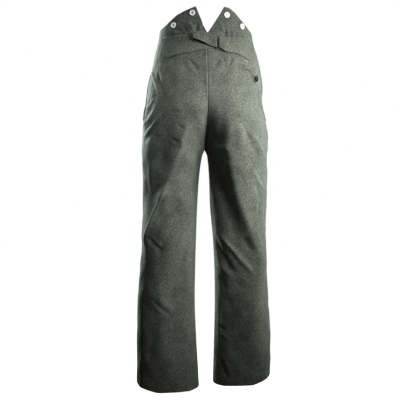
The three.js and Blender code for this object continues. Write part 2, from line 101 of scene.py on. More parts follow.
def follow(table, column, z):
    # smooth curve through a table whose rows run downwards
    zs = np.array(table["z"], float)
    values = np.array(table[column], float)
    last = len(zs) - 1
    low = np.maximum(np.arange(last + 1) - 1, 0)
    high = np.minimum(np.arange(last + 1) + 1, last)
    slopes = (values[high] - values[low]) / (zs[high] - zs[low])
    z = np.asarray(z, float)
    i = np.clip(np.searchsorted(-zs, -z, side="right") - 1, 0, last - 1)
    span = zs[i + 1] - zs[i]
    t = np.clip((z - zs[i]) / span, 0, 1)
    ease = t * t * (3 - 2 * t)
    lift = span * t * (1 - t) * (slopes[i] * (1 - t) - slopes[i + 1] * t)
    return values[i] + (values[i + 1] - values[i]) * ease + lift


def smooth(x, low, high):
    t = np.clip((x - low) / (high - low), 0, 1)
    return t * t * (3 - 2 * t)


def bell(distance, width):
    return np.exp(-(distance / width) ** 2)


def squared(x):
    return np.sign(x) * np.abs(x) ** garment["roundness"]


def sectionAt(side, z):
    out = follow(sections, "out" + side, z)
    low = garment["crotchLevel"]
    parted = 1 - smooth(z, low, low + garment["seatHeight"])
    inside = np.where(z < low, np.maximum(0, follow(sections, "in" + side, z)), 0)
    width = np.where(z < low, (out - inside) / 2, out / (1 + parted))
    sweep = math.pi - np.arccos(parted ** (1 / garment["roundness"]))
    return out - width, width, sweep


def plainPoint(side, around, z):
    middle, width, sweep = sectionAt(side, z)
    angle = (2 * around - 1) * sweep
    depth = np.where(angle < 0, follow(sections, "back", z), follow(sections, "front", z))
    x = middle + width * squared(np.cos(angle))
    y = follow(sections, "step" + side, z) - depth * squared(np.sin(angle))
    return np.stack([x if side == "L" else -x, y, z + 0 * x], axis=-1)


def outward(side, around, z):
    a = plainPoint(side, np.maximum(0, around - 0.004), z)
    b = plainPoint(side, np.minimum(1, around + 0.004), z)
    along = (b - a)[..., :2]
    along = along / np.linalg.norm(along, axis=-1, keepdims=True)
    sign = 1 if side == "L" else -1
    return np.stack([-along[..., 1] * sign, along[..., 0] * sign, 0 * along[..., 0]], axis=-1)


# broad folds: side, round, z, to round, to z, width, depth; ridges are positive, troughs negative
broadFolds = (
    ("L", 0.48, -140, 0.46, -215, 42, 4), ("R", 0.5, -112, 0.52, -132, 28, 4),
    ("L", 0.25, -250, 0.3, -362, 34, -6), ("L", 0.3, -362, 0.31, -480, 34, -5),
    ("L", 0.15, -330, 0.21, -470, 38, 4), ("L", 0.27, -420, 0.43, -579, 26, 5),
    ("L", 0.2, -700, 0.25, -890, 45, -4), ("L", 0.4, -780, 0.36, -960, 40, 4),
    ("R", 0.08, -340, 0.147, -436, 34, -7), ("R", 0.147, -436, 0.24, -640, 36, -7),
    ("R", 0.195, -332, 0.24, -500, 30, 4), ("R", 0.27, -560, 0.38, -666, 30, 5),
    ("R", 0.38, -640, 0.34, -960, 38, 4), ("R", 0.17, -760, 0.15, -950, 45, -4),
    ("L", 0.9, -330, 0.72, -440, 34, -6), ("R", 0.91, -325, 0.7, -420, 34, -6),
    ("L", 0.88, -560, 0.66, -625, 30, 4), ("R", 0.86, -625, 0.62, -570, 30, 4),
    ("L", 0.76, -700, 0.78, -940, 40, 4), ("R", 0.74, -690, 0.77, -930, 40, 4),
    ("L", 0.72, -70, 0.68, -190, 38, -4), ("R", 0.7, -80, 0.67, -180, 38, -4),
)
# creases: side, places as (round, level), width and height; ridges are positive, troughs negative
creases = (
    # left hip, pulled towards the pocket
    ("L", ((0.338, -172), (0.374, -189), (0.442, -212)), 5, 2.6),
    ("L", ((0.311, -192), (0.344, -216), (0.388, -238), (0.496, -264)), 5, 3.2),
    ("L", ((0.225, -210), (0.279, -224), (0.335, -252), (0.39, -274), (0.46, -297)), 5, 3.2),
    ("L", ((0.35, -196), (0.388, -214), (0.432, -237)), 5, -2.6),
    ("L", ((0.325, -228), (0.369, -252), (0.446, -276)), 5, -2.8),
    ("L", ((0.298, -244), (0.362, -279), (0.44, -306)), 8, -3.5),
    ("L", ((0.49, -80), (0.404, -105), (0.36, -123), (0.328, -140), (0.305, -159), (0.316, -174)), 5, 3),
    ("L", ((0.358, -86), (0.318, -112), (0.29, -132), (0.266, -156), (0.245, -194)), 9, -3),
    ("L", ((0.322, -81), (0.298, -112), (0.272, -132)), 4, 1),
    ("L", ((0.24, -166), (0.225, -213), (0.254, -256)), 24, -2),
    ("L", ((0.391, -140), (0.371, -177)), 14, 2),
    # left leg
    ("L", ((0.221, -243), (0.298, -316), (0.331, -396), (0.362, -465), (0.392, -530)), 26, -6.5),
    ("L", ((0.116, -237), (0.159, -273), (0.209, -308), (0.238, -354), (0.256, -396),
          (0.278, -426)), 10, 5),
    ("L", ((0.121, -246), (0.159, -273), (0.204, -304), (0.231, -338)), 5, 1.6),
    ("L", ((0.256, -405), (0.284, -447), (0.309, -483), (0.34, -525), (0.368, -560), (0.401, -597),
          (0.436, -630)), 5, 5.5),
    ("L", ((0.25, -405), (0.278, -447), (0.303, -483), (0.334, -525), (0.362, -560), (0.395, -597),
          (0.43, -630)), 20, 8),
    ("L", ((0.185, -255), (0.173, -264), (0.158, -270)), 5, -2.4),
    ("L", ((0.246, -298), (0.229, -304), (0.215, -314)), 6, -2.6),
    ("L", ((0.089, -352), (0.14, -396), (0.175, -438)), 9, -1),
    ("L", ((0.018, -213), (0.028, -270), (0.081, -316)), 10, -2),
    ("L", ((0.402, -586), (0.355, -603), (0.312, -624), (0.281, -642)), 5, -2.2),
    ("L", ((0.364, -591), (0.328, -606), (0.289, -627)), 6, 1.2),
    ("L", ((0.396, -608), (0.352, -626), (0.318, -642)), 6, 1.2),
    ("L", ((0.228, -555), (0.264, -594), (0.294, -630), (0.314, -672)), 9, -2),
    ("L", ((0.103, -578), (0.151, -626), (0.174, -668), (0.189, -722)), 9, -2),
    ("L", ((0.068, -618), (0.11, -669), (0.139, -723)), 9, 0.8),
    ("L", ((0.338, -776), (0.301, -794), (0.279, -806), (0.254, -818), (0.22, -838)), 4, -2.2),
    ("L", ((0.298, -772), (0.259, -794), (0.23, -818)), 7, 1.4),
    ("L", ((0.306, -806), (0.268, -824)), 6, 1),
    ("L", ((0.386, -716), (0.36, -812), (0.346, -916), (0.332, -1023)), 24, -2),
    ("L", ((0.28, -666), (0.283, -752), (0.264, -872), (0.244, -1006)), 24, 5),
    ("L", ((0.274, -998), (0.215, -999)), 7, 0.6),
    ("L", ((0.182, -480), (0.199, -540), (0.219, -600)), 26, -2.5),
    ("L", ((0.405, -328), (0.421, -404), (0.408, -480)), 12, -3),
    ("L", ((0.055, -140), (0.05, -240), (0.045, -345)), 20, 5),
    ("L", ((0.31, -440), (0.285, -480), (0.265, -535)), 22, 5),
    ("L", ((0.12, -640), (0.16, -760), (0.15, -860)), 16, -2),
    ("L", ((0.3, -860), (0.34, -930), (0.33, -990)), 14, -2.2),
    ("L", ((0.41, -560), (0.4, -600), (0.37, -660)), 16, 3.2),
    # waist and seat
    ("L", ((0.103, -58), (0.071, -78), (0.042, -96)), 5, -3.6),
    ("L", ((0.12, -64), (0.094, -84), (0.059, -105)), 6, 1.8),
    ("R", ((0.075, -52), (0.089, -70), (0.092, -88)), 5, -1.6),
    ("R", ((0.138, -48), (0.134, -63), (0.118, -82)), 5, -1.4),
    ("L", ((0.189, -60), (0.165, -108), (0.146, -159)), 22, 3),
    ("L", ((0.139, -176), (0.164, -219)), 20, 2),
    ("L", ((0.021, -81), (0.018, -130), (0.021, -178)), 10, -0.8),
    ("R", ((0.079, -117), (0.086, -159), (0.101, -201)), 22, -1),
    ("R", ((0.181, -90), (0.175, -134), (0.179, -182)), 24, -1.5),
    ("L", ((0.132, 58), (0.108, 44), (0.08, 30)), 5, 3.52),
    ("L", ((0.166, 48), (0.14, 30), (0.106, 12)), 4.5, -3.52),
    ("L", ((0.056, 52), (0.066, 28), (0.076, 8)), 5, -3.84),
    ("L", ((0.232, 38), (0.192, 30), (0.152, 22)), 6, -2.56),
    ("L", ((0.3, 44), (0.25, 30), (0.2, 14)), 6, 2.24),
    ("L", ((0.018, -32), (0.022, -44), (0.028, -54)), 5, -1.6),
    ("R", ((0.118, 38), (0.112, 22), (0.11, 8)), 3.6, -2.88),
    ("R", ((0.156, 36), (0.152, 20), (0.15, 6)), 3.6, -3.2),
    ("R", ((0.196, 32), (0.195, 20), (0.196, 8)), 3.6, -2.4),
    ("R", ((0.136, 36), (0.131, 20), (0.13, 8)), 4, 1.92),
    ("R", ((0.222, 20), (0.26, 10), (0.3, 2)), 5, -1.2),
    ("R", ((0.062, -60), (0.048, -73), (0.03, -86)), 4, -3.2),
    ("R", ((0.138, -48), (0.124, -66), (0.112, -82)), 4.5, -3.2),
    ("R", ((0.06, 60), (0.09, 40), (0.1, 20)), 6, 2.24),
    ("L", ((0.03, 42), (0.018, 33), (0.008, 26)), 4, -5),
    ("R", ((0.08, 13), (0.16, 12), (0.24, 13), (0.33, 14)), 3.2, -1.7),
    ("L", ((0.12, 18), (0.2, 18), (0.3, 16)), 3.2, -1.5),
    ("R", ((0.165, -110), (0.16, -150), (0.15, -200)), 22, 2.2),
    ("L", ((0.15, -230), (0.11, -300), (0.1, -420), (0.12, -560)), 34, -2.2),
    # right leg
    ("R", ((0.01, -195), (0.018, -255), (0.052, -312)), 8, -0.8),
    ("R", ((0.054, -219), (0.074, -254), (0.079, -282)), 6, 0.6),
    ("R", ((0.103, -195), (0.144, -272), (0.194, -330), (0.2, -390), (0.219, -444), (0.243, -495),
          (0.268, -540), (0.3, -586), (0.336, -633)), 12, 6),
    ("R", ((0.099, -328), (0.085, -394), (0.145, -465), (0.194, -516), (0.236, -566), (0.275, -602),
          (0.32, -636)), 20, -5.5),
    ("R", ((0.255, -590), (0.286, -616), (0.326, -645)), 12, -6),
    ("R", ((0.098, -579), (0.154, -609), (0.21, -641), (0.252, -670), (0.29, -694),
          (0.325, -718)), 7.5, 6),
    ("R", ((0.024, -588), (0.096, -627), (0.143, -663), (0.181, -690), (0.229, -717)), 12, -7),
    ("R", ((0.064, -670), (0.131, -694), (0.186, -716)), 7, 2.2),
    ("R", ((0.07, -708), (0.118, -732), (0.148, -762)), 9, -2.4),
    ("R", ((0.155, -756), (0.175, -832), (0.196, -909), (0.206, -993)), 18, -2.5),
    ("R", ((0.078, -758), (0.079, -850), (0.086, -944)), 10, 2),
    ("R", ((0.198, -728), (0.238, -746), (0.271, -760)), 5, -1.5),
    ("R", ((0.222, -708), (0.262, -728), (0.308, -752)), 8, 1.2),
    ("R", ((0.24, -828), (0.274, -816), (0.315, -804)), 7, -1.5),
    ("R", ((0.25, -798), (0.292, -783), (0.33, -774)), 8, 1.2),
    ("R", ((0.041, -864), (0.1, -872), (0.141, -879)), 5, -2.6),
    ("R", ((0.07, -885), (0.128, -898), (0.165, -910)), 6, 1.2),
    ("R", ((0.066, -952), (0.11, -980), (0.145, -1010), (0.173, -1034)), 6, -2.2),
    ("R", ((0.115, -954), (0.158, -990), (0.19, -1023)), 7, 1.5),
    ("R", ((0.208, -891), (0.24, -906), (0.268, -918)), 7, -1),
    ("R", ((0.311, -771), (0.311, -879), (0.312, -987)), 24, 4),
    ("R", ((0.399, -788), (0.395, -850), (0.395, -927)), 6, 1),
    ("R", ((0.38, -450), (0.39, -495), (0.388, -556)), 4, 2.04),
    ("R", ((0.355, -468), (0.358, -510), (0.349, -554)), 5, -2.04),
    ("R", ((0.318, -566), (0.338, -584), (0.359, -602), (0.368, -633)), 5, 2),
    ("R", ((0.211, -262), (0.249, -286), (0.299, -315), (0.329, -333), (0.359, -358)), 6, -3.06),
    ("R", ((0.252, -274), (0.311, -297), (0.352, -320), (0.385, -338), (0.411, -356)), 6, 2.72),
    ("R", ((0.296, -384), (0.328, -408), (0.359, -429), (0.402, -450)), 5, 3.094),
    ("R", ((0.322, -432), (0.345, -450), (0.355, -477)), 6, -2.04),
    ("R", ((0.17, -249), (0.22, -290), (0.259, -336)), 9, 3.315),
    ("R", ((0.271, -360), (0.275, -405), (0.292, -465)), 14, -1.7),
    ("R", ((0.314, -264), (0.354, -244), (0.441, -225)), 6, 1.2),
    ("R", ((0.366, -126), (0.411, -154), (0.346, -189)), 6, 1.2),
    ("R", ((0.226, -156), (0.244, -204), (0.247, -248)), 20, 0.5),
    ("R", ((0.138, -195), (0.178, -270), (0.228, -330), (0.238, -390), (0.253, -444), (0.273, -495),
          (0.293, -545)), 30, 8),
    ("R", ((0.2, -800), (0.24, -880), (0.22, -960)), 14, -2),
    ("R", ((0.35, -194), (0.42, -210), (0.47, -224)), 7, -4),
    ("R", ((0.38, -250), (0.44, -275), (0.46, -310)), 13, 2.5),
    ("R", ((0.03, -440), (0.035, -520), (0.04, -600)), 20, -3.5),
    # left front: pulls out of the fork, slack at the knee and over the foot
    ("L", ((0.97, -296), (0.9, -332), (0.8, -350)), 9, -3.6),
    ("L", ((0.96, -280), (0.88, -312), (0.78, -326)), 8, 2.6),
    ("L", ((0.97, -330), (0.88, -380), (0.78, -420)), 11, -3.4),
    ("L", ((0.9, -540), (0.8, -580), (0.68, -600)), 9, 3.0),
    ("L", ((0.92, -566), (0.82, -612), (0.7, -636)), 12, -3.0),
    ("L", ((0.6, -520), (0.68, -560), (0.78, -575)), 9, -2.4),
    ("L", ((0.9, -930), (0.78, -948), (0.64, -940)), 9, 3.0),
    ("L", ((0.92, -955), (0.8, -972), (0.66, -966)), 10, -3.0),
    ("L", ((0.56, -240), (0.62, -262), (0.7, -268)), 8, 2.2),
    # right front
    ("R", ((0.97, -292), (0.89, -326), (0.79, -338)), 9, -3.6),
    ("R", ((0.96, -274), (0.87, -300), (0.77, -310)), 8, 2.4),
    ("R", ((0.97, -336), (0.87, -392), (0.75, -424)), 11, -3.2),
    ("R", ((0.88, -610), (0.76, -590), (0.64, -556)), 9, 3.0),
    ("R", ((0.9, -640), (0.78, -626), (0.66, -590)), 12, -3.0),
    ("R", ((0.6, -620), (0.7, -650), (0.8, -664)), 9, -2.2),
    ("R", ((0.9, -916), (0.78, -930), (0.62, -918)), 9, 2.8),
    ("R", ((0.92, -940), (0.8, -956), (0.64, -944)), 10, -2.8),
    ("R", ((0.57, -236), (0.63, -256), (0.71, -262)), 8, 2.0),
)
creaseForm = {"steps": 7, "reach": 2.8, "fade": (-0.02, 0.3)}
slack = {
    "seed": 7, "waves": 46, "longest": 150, "shortest": 34, "height": 0.34,
    "lean": 0.9, "upright": 0.3, "usual": 60, "level": 3,
}
foldFade = {  # how folds die out: by round towards the centre seams, by level towards the edges
    "seam": 0.06, "creaseSeam": 0.02, "band": (30, -60), "hem": (-1066, -1010), "bandShare": 0.15,
}


def broadDepth(side, around, z):
    depth = np.zeros(np.broadcast(around, z).shape)
    ring = garment["ringLength"]
    for name, r0, z0, r1, z1, width, height in broadFolds:
        if name != side:
            continue
        dx, dz = (r1 - r0) * ring, z1 - z0
        px, pz = (around - r0) * ring, z - z0
        t = np.clip((px * dx + pz * dz) / (dx * dx + dz * dz), 0, 1)
        away = np.hypot(px - t * dx, pz - t * dz) / width
        depth += height * np.exp(-away * away)
    return depth


def smoothLine(pins, steps):
    # smooth curve through a row of places
    pins = np.array(pins, float) * (garment["ringLength"], 1)
    pins = np.concatenate([[2 * pins[0] - pins[1]], pins, [2 * pins[-1] - pins[-2]]])
    curve = []
    for a, b, c, d in zip(pins[:-3], pins[1:-2], pins[2:-1], pins[3:]):
        for t in np.linspace(0, 1, steps, endpoint=False):
            curve.append((2 * b + (c - a) * t + (2 * a - 5 * b + 4 * c - d) * t ** 2
                          + (3 * b - a - 3 * c + d) * t ** 3) / 2)
    return np.array(curve + [pins[-2]])


def creaseDepth(side, around, z):
    # height of the creases near a place, each faded towards its ends
    depth = np.zeros(np.broadcast(around, z).shape)
    px, pz = around * garment["ringLength"] + 0 * z, z + 0 * around
    for name, pins, width, height in creases:
        if name != side:
            continue
        curve = smoothLine(pins, creaseForm["steps"])
        reach = creaseForm["reach"] * width
        low, high = curve.min(axis=0) - reach, curve.max(axis=0) + reach
        near = (px > low[0]) & (px < high[0]) & (pz > low[1]) & (pz < high[1])
        if not near.any():
            continue
        qx, qz = px[near], pz[near]
        best = np.full(qx.shape, 1e9)
        place = np.zeros(qx.shape)
        parts = np.diff(curve, axis=0)
        lengths = np.hypot(parts[:, 0], parts[:, 1])
        run = np.concatenate([[0], np.cumsum(lengths)])
        for k in range(len(parts)):
            s = ((qx - curve[k, 0]) * parts[k, 0] + (qz - curve[k, 1]) * parts[k, 1]) / lengths[k] ** 2
            s = np.clip(s, 0, 1)
            gap = np.hypot(qx - curve[k, 0] - s * parts[k, 0], qz - curve[k, 1] - s * parts[k, 1])
            place = np.where(gap < best, (run[k] + s * lengths[k]) / run[-1], place)
            best = np.minimum(best, gap)
        fade = smooth(place, *creaseForm["fade"]) * smooth(1 - place, *creaseForm["fade"])
        depth[near] += height * fade * bell(best, width)
    return depth


def slackDepth(side, around, z):
    # low uneven waves of slack cloth
    random = np.random.default_rng(slack["seed"] + (0 if side == "L" else 1))
    total = np.zeros(np.broadcast(around, z).shape)
    for k in range(slack["waves"]):
        size = slack["longest"] * (slack["shortest"] / slack["longest"]) ** random.random()
        heading = random.uniform(-slack["lean"], slack["lean"])
        heading += math.pi / 2 if random.random() < slack["upright"] else 0
        phase = random.uniform(0, 2 * math.pi)
        run = around * garment["ringLength"] * math.cos(heading) + z * math.sin(heading)
        total += math.sqrt(size / slack["usual"]) * np.sin(2 * math.pi * run / size + phase)
    return slack["height"] * total / slack["level"]


def foldDepth(side, around, z, fine=True):
    fade = smooth(np.minimum(around, 1 - around), 0, foldFade["seam"])
    depth = broadDepth(side, around, z) * fade
    if fine:
        calm = smooth(z, *foldFade["band"])  # flat where the top is stitched
        low = smooth(z, *foldFade["hem"])
        shorter = smooth(np.minimum(around, 1 - around), 0, foldFade["creaseSeam"])
        depth += creaseDepth(side, around, z) * shorter * low
        share = foldFade["bandShare"]
        depth += slackDepth(side, around, z) * fade * (share + (1 - share) * calm)
    return depth


def clothPoint(side, around, z, lift=0.0, fine=True):
    around, z = np.broadcast_arrays(np.asarray(around, float), np.asarray(z, float))
    depth = foldDepth(side, around, z, fine) + lift
    return plainPoint(side, around, z) + outward(side, around, z) * depth[..., None]


def roundAt(side, x, z):
    middle, width, sweep = sectionAt(side, z)
    across = np.clip((np.abs(x) - middle) / width, -1, 1)
    angle = np.arccos(np.sign(across) * np.abs(across) ** (1 / garment["roundness"]))
    return (1 - angle / sweep) / 2


def backPoint(x, z, lift, fine=False):
    # point off the back by its width from centre back, positive on the wearer's left
    x, z, lift = np.broadcast_arrays(*(np.asarray(v, float) for v in (x, z, lift)))
    points = np.empty(x.shape + (3,))
    for side, mask in (("L", x >= 0), ("R", x < 0)):
        if mask.any():
            points[mask] = clothPoint(side, roundAt(side, x[mask], z[mask]), z[mask], lift[mask], fine)
    return points


edgeForm = {"blur": (-0.008, -0.004, 0, 0.004, 0.008), "peakReach": 0.012, "peakSharp": 0.6}
edgeDents = (  # small dents in the top edge: side, round, width and drop
    ("L", 0.024, 0.005, 5.0), ("L", 0.2, 0.012, 0.8), ("R", 0.3, 0.012, 0.8), ("L", 0.335, 0.01, 1.2),
)


def edgeHeight(edge, side, around):
    # height of the top edge or the hem, its corners softened apart from the peak's
    places, heights = edge[side]
    blur = edgeForm["blur"]
    line = sum(np.interp(np.clip(around + b, 0, 1), places, heights) for b in blur) / len(blur)
    if edge is topEdge:
        peak = bell(around - peakRound[side], edgeForm["peakReach"])
        line = line + peak * (np.interp(around, places, heights) - line) * edgeForm["peakSharp"]
        for name, place, width, drop in edgeDents:
            if name == side:
                line = line - drop * bell(around - place, width)
    return line


def rowHeight(side, around, level):
    top, low = garment["waistJoin"], garment["hemJoin"]
    up = (level - top) / (garment["topLevel"] - top)
    down = (level - low) / (garment["hemLevel"] - low)
    z = np.where(level > top, top + (edgeHeight(topEdge, side, around) - top) * up, level)
    return np.where(level < low, low + (edgeHeight(hemLine, side, around) - low) * down, z)


# building thin closed shells of cloth

rimShare = 0.42  # how far a rounded rim stands out, as a share of the cloth's thickness


def gridShell(name, outer, inner, marks=None):
    # outer and inner are grids of points in millimetres; the rims between them are rounded
    rows, columns = outer.shape[:2]
    loop = [(0, i) for i in range(columns)] + [(j, columns - 1) for j in range(1, rows)]
    loop += [(rows - 1, i) for i in range(columns - 2, -1, -1)]
    loop += [(j, 0) for j in range(rows - 2, 0, -1)]
    j = np.array([p[0] for p in loop])
    i = np.array([p[1] for p in loop])
    jn = np.clip(j, 1, rows - 2)
    im = np.clip(i, 1, columns - 2)
    middle = (outer[j, i] + inner[j, i]) / 2
    away = middle - (outer[jn, im] + inner[jn, im]) / 2
    away /= np.maximum(np.linalg.norm(away, axis=-1, keepdims=True), 1e-6)
    thick = np.linalg.norm(outer[j, i] - inner[j, i], axis=-1, keepdims=True)
    rim = middle + away * thick * rimShare
    size = rows * columns
    points = np.concatenate([outer.reshape(-1, 3), inner.reshape(-1, 3), rim]) * mm
    a = (np.arange(rows - 1)[:, None] * columns + np.arange(columns - 1)).ravel()
    skin = np.stack([a, a + 1, a + 1 + columns, a + columns], axis=1)
    k = j * columns + i
    r = 2 * size + np.arange(len(loop))
    kNext, rNext = np.roll(k, -1), np.roll(r, -1)
    first = np.stack([kNext, k, r, rNext], axis=1)
    second = np.stack([rNext, r, k + size, kNext + size], axis=1)
    faces = np.concatenate([skin, skin[:, ::-1] + size, first, second])
    if enclosed(points, faces) < 0:
        faces = faces[:, ::-1]
    piece = meshPiece(name, points, faces)
    for mark, grid in (marks or {}).items():
        writeMark(piece, mark, np.concatenate([grid.ravel(), grid.ravel(), grid[j, i]]))
    return piece


def writeMark(piece, mark, values):
    # a number at each point, which a material reads by its name
    attribute = piece.data.attributes.new(mark, "FLOAT", "POINT")
    attribute.data.foreach_set("value", values.astype(np.float32))


def enclosed(points, faces):
    a, b, c, d = (points[faces[:, n]] for n in range(4))
    return (np.einsum("ij,ij->i", a, np.cross(b, c)) + np.einsum("ij,ij->i", a, np.cross(c, d))).sum()


def meshPiece(name, points, faces):
    mesh = bpy.data.meshes.new(name)
    corners = faces.shape[1]
    mesh.vertices.add(len(points))
    mesh.vertices.foreach_set("co", np.ascontiguousarray(points, dtype=np.float32).ravel())
    mesh.loops.add(faces.size)
    mesh.loops.foreach_set("vertex_index", np.ascontiguousarray(faces, dtype=np.int32).ravel())
    mesh.polygons.add(len(faces))
    mesh.polygons.foreach_set("loop_start", np.arange(0, faces.size, corners, dtype=np.int32))
    mesh.update(calc_edges=True)
    mesh.polygons.foreach_set("use_smooth", np.ones(len(faces), dtype=bool))
    mesh.validate()
    return inScene(name, mesh)


def fitted(piece, material, slotName, *nodes):
    piece.data.materials.append(material)
    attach(piece, "root")
    if nodes:
        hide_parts(*nodes)
    return piece


def clothArea(grid):
    a = grid[1:, :-1] - grid[:-1, :-1]
    b = grid[:-1, 1:] - grid[:-1, :-1]
    c = grid[1:, :-1] - grid[1:, 1:]
    d = grid[:-1, 1:] - grid[1:, 1:]
    both = np.linalg.norm(np.cross(a, b), axis=-1) + np.linalg.norm(np.cross(c, d), axis=-1)
    return both.sum() / 2 * mm * mm


# materials

class NodeSheet:
    # a material's node tree with short ways to add and join nodes
    def __init__(self, name):
        self.material = bpy.data.materials.new(name)
        self.material.use_nodes = True
        self.nodes = self.material.node_tree.nodes
        self.links = self.material.node_tree.links
        self.nodes.clear()
        self.shader = self.nodes.new("ShaderNodeBsdfPrincipled")
        output = self.nodes.new("ShaderNodeOutputMaterial")
        self.join(self.shader.outputs["BSDF"], output.inputs["Surface"])
        self.place = self.nodes.new("ShaderNodeTexCoord").outputs["Object"]

    def join(self, source, target):
        self.links.new(source, target)

    def put(self, value, socket):
        if isinstance(value, bpy.types.NodeSocket):
            self.join(value, socket)
        else:
            socket.default_value = value

    def stretched(self, scale, turned=(0, 0, 0)):
        node = self.nodes.new("ShaderNodeMapping")
        self.join(self.place, node.inputs["Vector"])
        node.inputs["Scale"].default_value = scale
        node.inputs["Rotation"].default_value = turned
        return node.outputs["Vector"]

    def noise(self, scale, detail=2.0, rough=0.5, vector=None):
        node = self.nodes.new("ShaderNodeTexNoise")
        node.inputs["Scale"].default_value = scale
        node.inputs["Detail"].default_value = detail
        node.inputs["Roughness"].default_value = rough
        self.join(vector or self.place, node.inputs["Vector"])
        return node.outputs["Fac"]

    def ribs(self, scale, turned, warp=0.6):
        node = self.nodes.new("ShaderNodeTexWave")
        node.inputs["Scale"].default_value = scale
        node.inputs["Distortion"].default_value = warp
        node.inputs["Detail"].default_value = 1.0
        self.join(self.stretched((1, 1, 1), turned), node.inputs["Vector"])
        return node.outputs["Fac"]

    def spread(self, value, low, high, toLow=0.0, toHigh=1.0):
        node = self.nodes.new("ShaderNodeMapRange")
        self.join(value, node.inputs["Value"])
        numbers = {"From Min": low, "From Max": high, "To Min": toLow, "To Max": toHigh}
        for socket, number in numbers.items():
            node.inputs[socket].default_value = number
        return node.outputs["Result"]

    def sum(self, operation, a, b):
        node = self.nodes.new("ShaderNodeMath")
        node.operation = operation
        self.put(a, node.inputs[0])
        self.put(b, node.inputs[1])
        return node.outputs["Value"]

    def blend(self, share, a, b, kind="MIX"):
        node = self.nodes.new("ShaderNodeMix")
        node.data_type = "RGBA"
        node.blend_type = kind
        self.put(share, node.inputs["Factor"])
        self.put(a, node.inputs["A"])
        self.put(b, node.inputs["B"])
        return node.outputs["Result"]

    def height(self):
        node = self.nodes.new("ShaderNodeSeparateXYZ")
        self.join(self.place, node.inputs["Vector"])
        return node.outputs["Z"]

    def mark(self, name):
        node = self.nodes.new("ShaderNodeAttribute")
        node.attribute_name = name
        return node.outputs["Fac"]

    def bump(self, height, strength, distance, below=None):
        node = self.nodes.new("ShaderNodeBump")
        node.inputs["Strength"].default_value = strength
        node.inputs["Distance"].default_value = distance
        self.join(height, node.inputs["Height"])
        if below is not None:
            self.join(below, node.inputs["Normal"])
        return node.outputs["Normal"]


def shade(r, g, b):
    # display colour to the linear one that nodes take
    linear = (((c / 255 + 0.055) / 1.055) ** 2.4 if c > 10 else c / 255 / 12.92 for c in (r, g, b))
    return (*linear, 1.0)


woolFinish = {
    "dark": shade(42, 45, 41), "middle": shade(92, 97, 89), "pale": shade(164, 167, 156),
    "rubbed": shade(112, 115, 106), "nap": 0.22, "napColour": (0.74, 0.8, 0.74, 1.0),
    "waistLevels": (-0.08, 0.025), "waistPaintedShade": 0.74,  # painted shade: the waist is darker than the seat
    # painted shade: the cloth darkens towards the hems
    "hemLevels": (-1.06, -0.8), "hemPaintedShade": 0.86,
}


def woolCloth(name, lighter=1.0, marked=True):
    # heathered, napped wool: dark and pale fibres spun together, clouded, rubbed lighter on the ridges,
    # with painted shade in the troughs, at the waist and towards the hems
    sheet = NodeSheet(name)
    yarn = sheet.noise(640, 3, 0.6)
    heather = sheet.noise(330, 4, 0.7)
    fibres = sheet.noise(430, 3, 0.65, sheet.stretched((1.5, 1.5, 0.5), (0, 0.5, 0)))
    cloud = sheet.noise(26, 3, 0.55)
    wash = sheet.noise(7, 2, 0.5)
    colour = sheet.blend(sheet.spread(heather, 0.41, 0.59), woolFinish["dark"], woolFinish["middle"])
    colour = sheet.blend(sheet.spread(yarn, 0.38, 0.68, 0, 0.5), colour, woolFinish["middle"])
    colour = sheet.blend(sheet.spread(fibres, 0.56, 0.7, 0, 0.5), colour, woolFinish["pale"])
    toneAndShade = sheet.spread(cloud, 0.3, 0.7, 0.8 * lighter, 1.16 * lighter)
    toneAndShade = sheet.sum("MULTIPLY", toneAndShade, sheet.spread(wash, 0.3, 0.7, 0.9, 1.1))
    level = sheet.height()
    # painted shade: the cloth darkens from the seat up to the waist
    waist = sheet.spread(level, *woolFinish["waistLevels"], 1, woolFinish["waistPaintedShade"])
    toneAndShade = sheet.sum("MULTIPLY", toneAndShade, waist)
    # painted shade: darker towards the hems
    hem = sheet.spread(level, *woolFinish["hemLevels"], woolFinish["hemPaintedShade"], 1)
    toneAndShade = sheet.sum("MULTIPLY", toneAndShade, hem)
    if marked:
        # painted shade in the troughs of folds and creases; the ridges lighter as wear
        toneAndShade = sheet.sum("MULTIPLY", toneAndShade, sheet.spread(sheet.mark("foldShadeAndWear"), 0, 1, 0.8, 1.16))
        rub = sheet.sum("MULTIPLY", sheet.mark("rub"), sheet.spread(heather, 0.3, 0.6, 0.05, 0.4))
        colour = sheet.blend(rub, colour, woolFinish["rubbed"])
    scaled = sheet.nodes.new("ShaderNodeVectorMath")
    scaled.operation = "SCALE"
    sheet.join(colour, scaled.inputs[0])
    sheet.join(toneAndShade, scaled.inputs["Scale"])
    sheet.join(scaled.outputs["Vector"], sheet.shader.inputs["Base Color"])
    sheet.join(sheet.spread(cloud, 0.2, 0.8, 0.86, 0.98), sheet.shader.inputs["Roughness"])
    twill = sheet.ribs(190, (0.2, 0.75, 0.3))
    relief = sheet.sum("ADD", sheet.sum("MULTIPLY", twill, 0.35), sheet.sum("ADD", yarn, heather))
    rough = sheet.bump(relief, 0.55, 0.0006)
    sheet.join(sheet.bump(cloud, 0.25, 0.002, rough), sheet.shader.inputs["Normal"])
    sheet.shader.inputs["Sheen Weight"].default_value = woolFinish["nap"]
    sheet.shader.inputs["Sheen Roughness"].default_value = 0.42
    sheet.shader.inputs["Sheen Tint"].default_value = woolFinish["napColour"]
    sheet.shader.inputs["Specular IOR Level"].default_value = 0.18
    return sheet.material


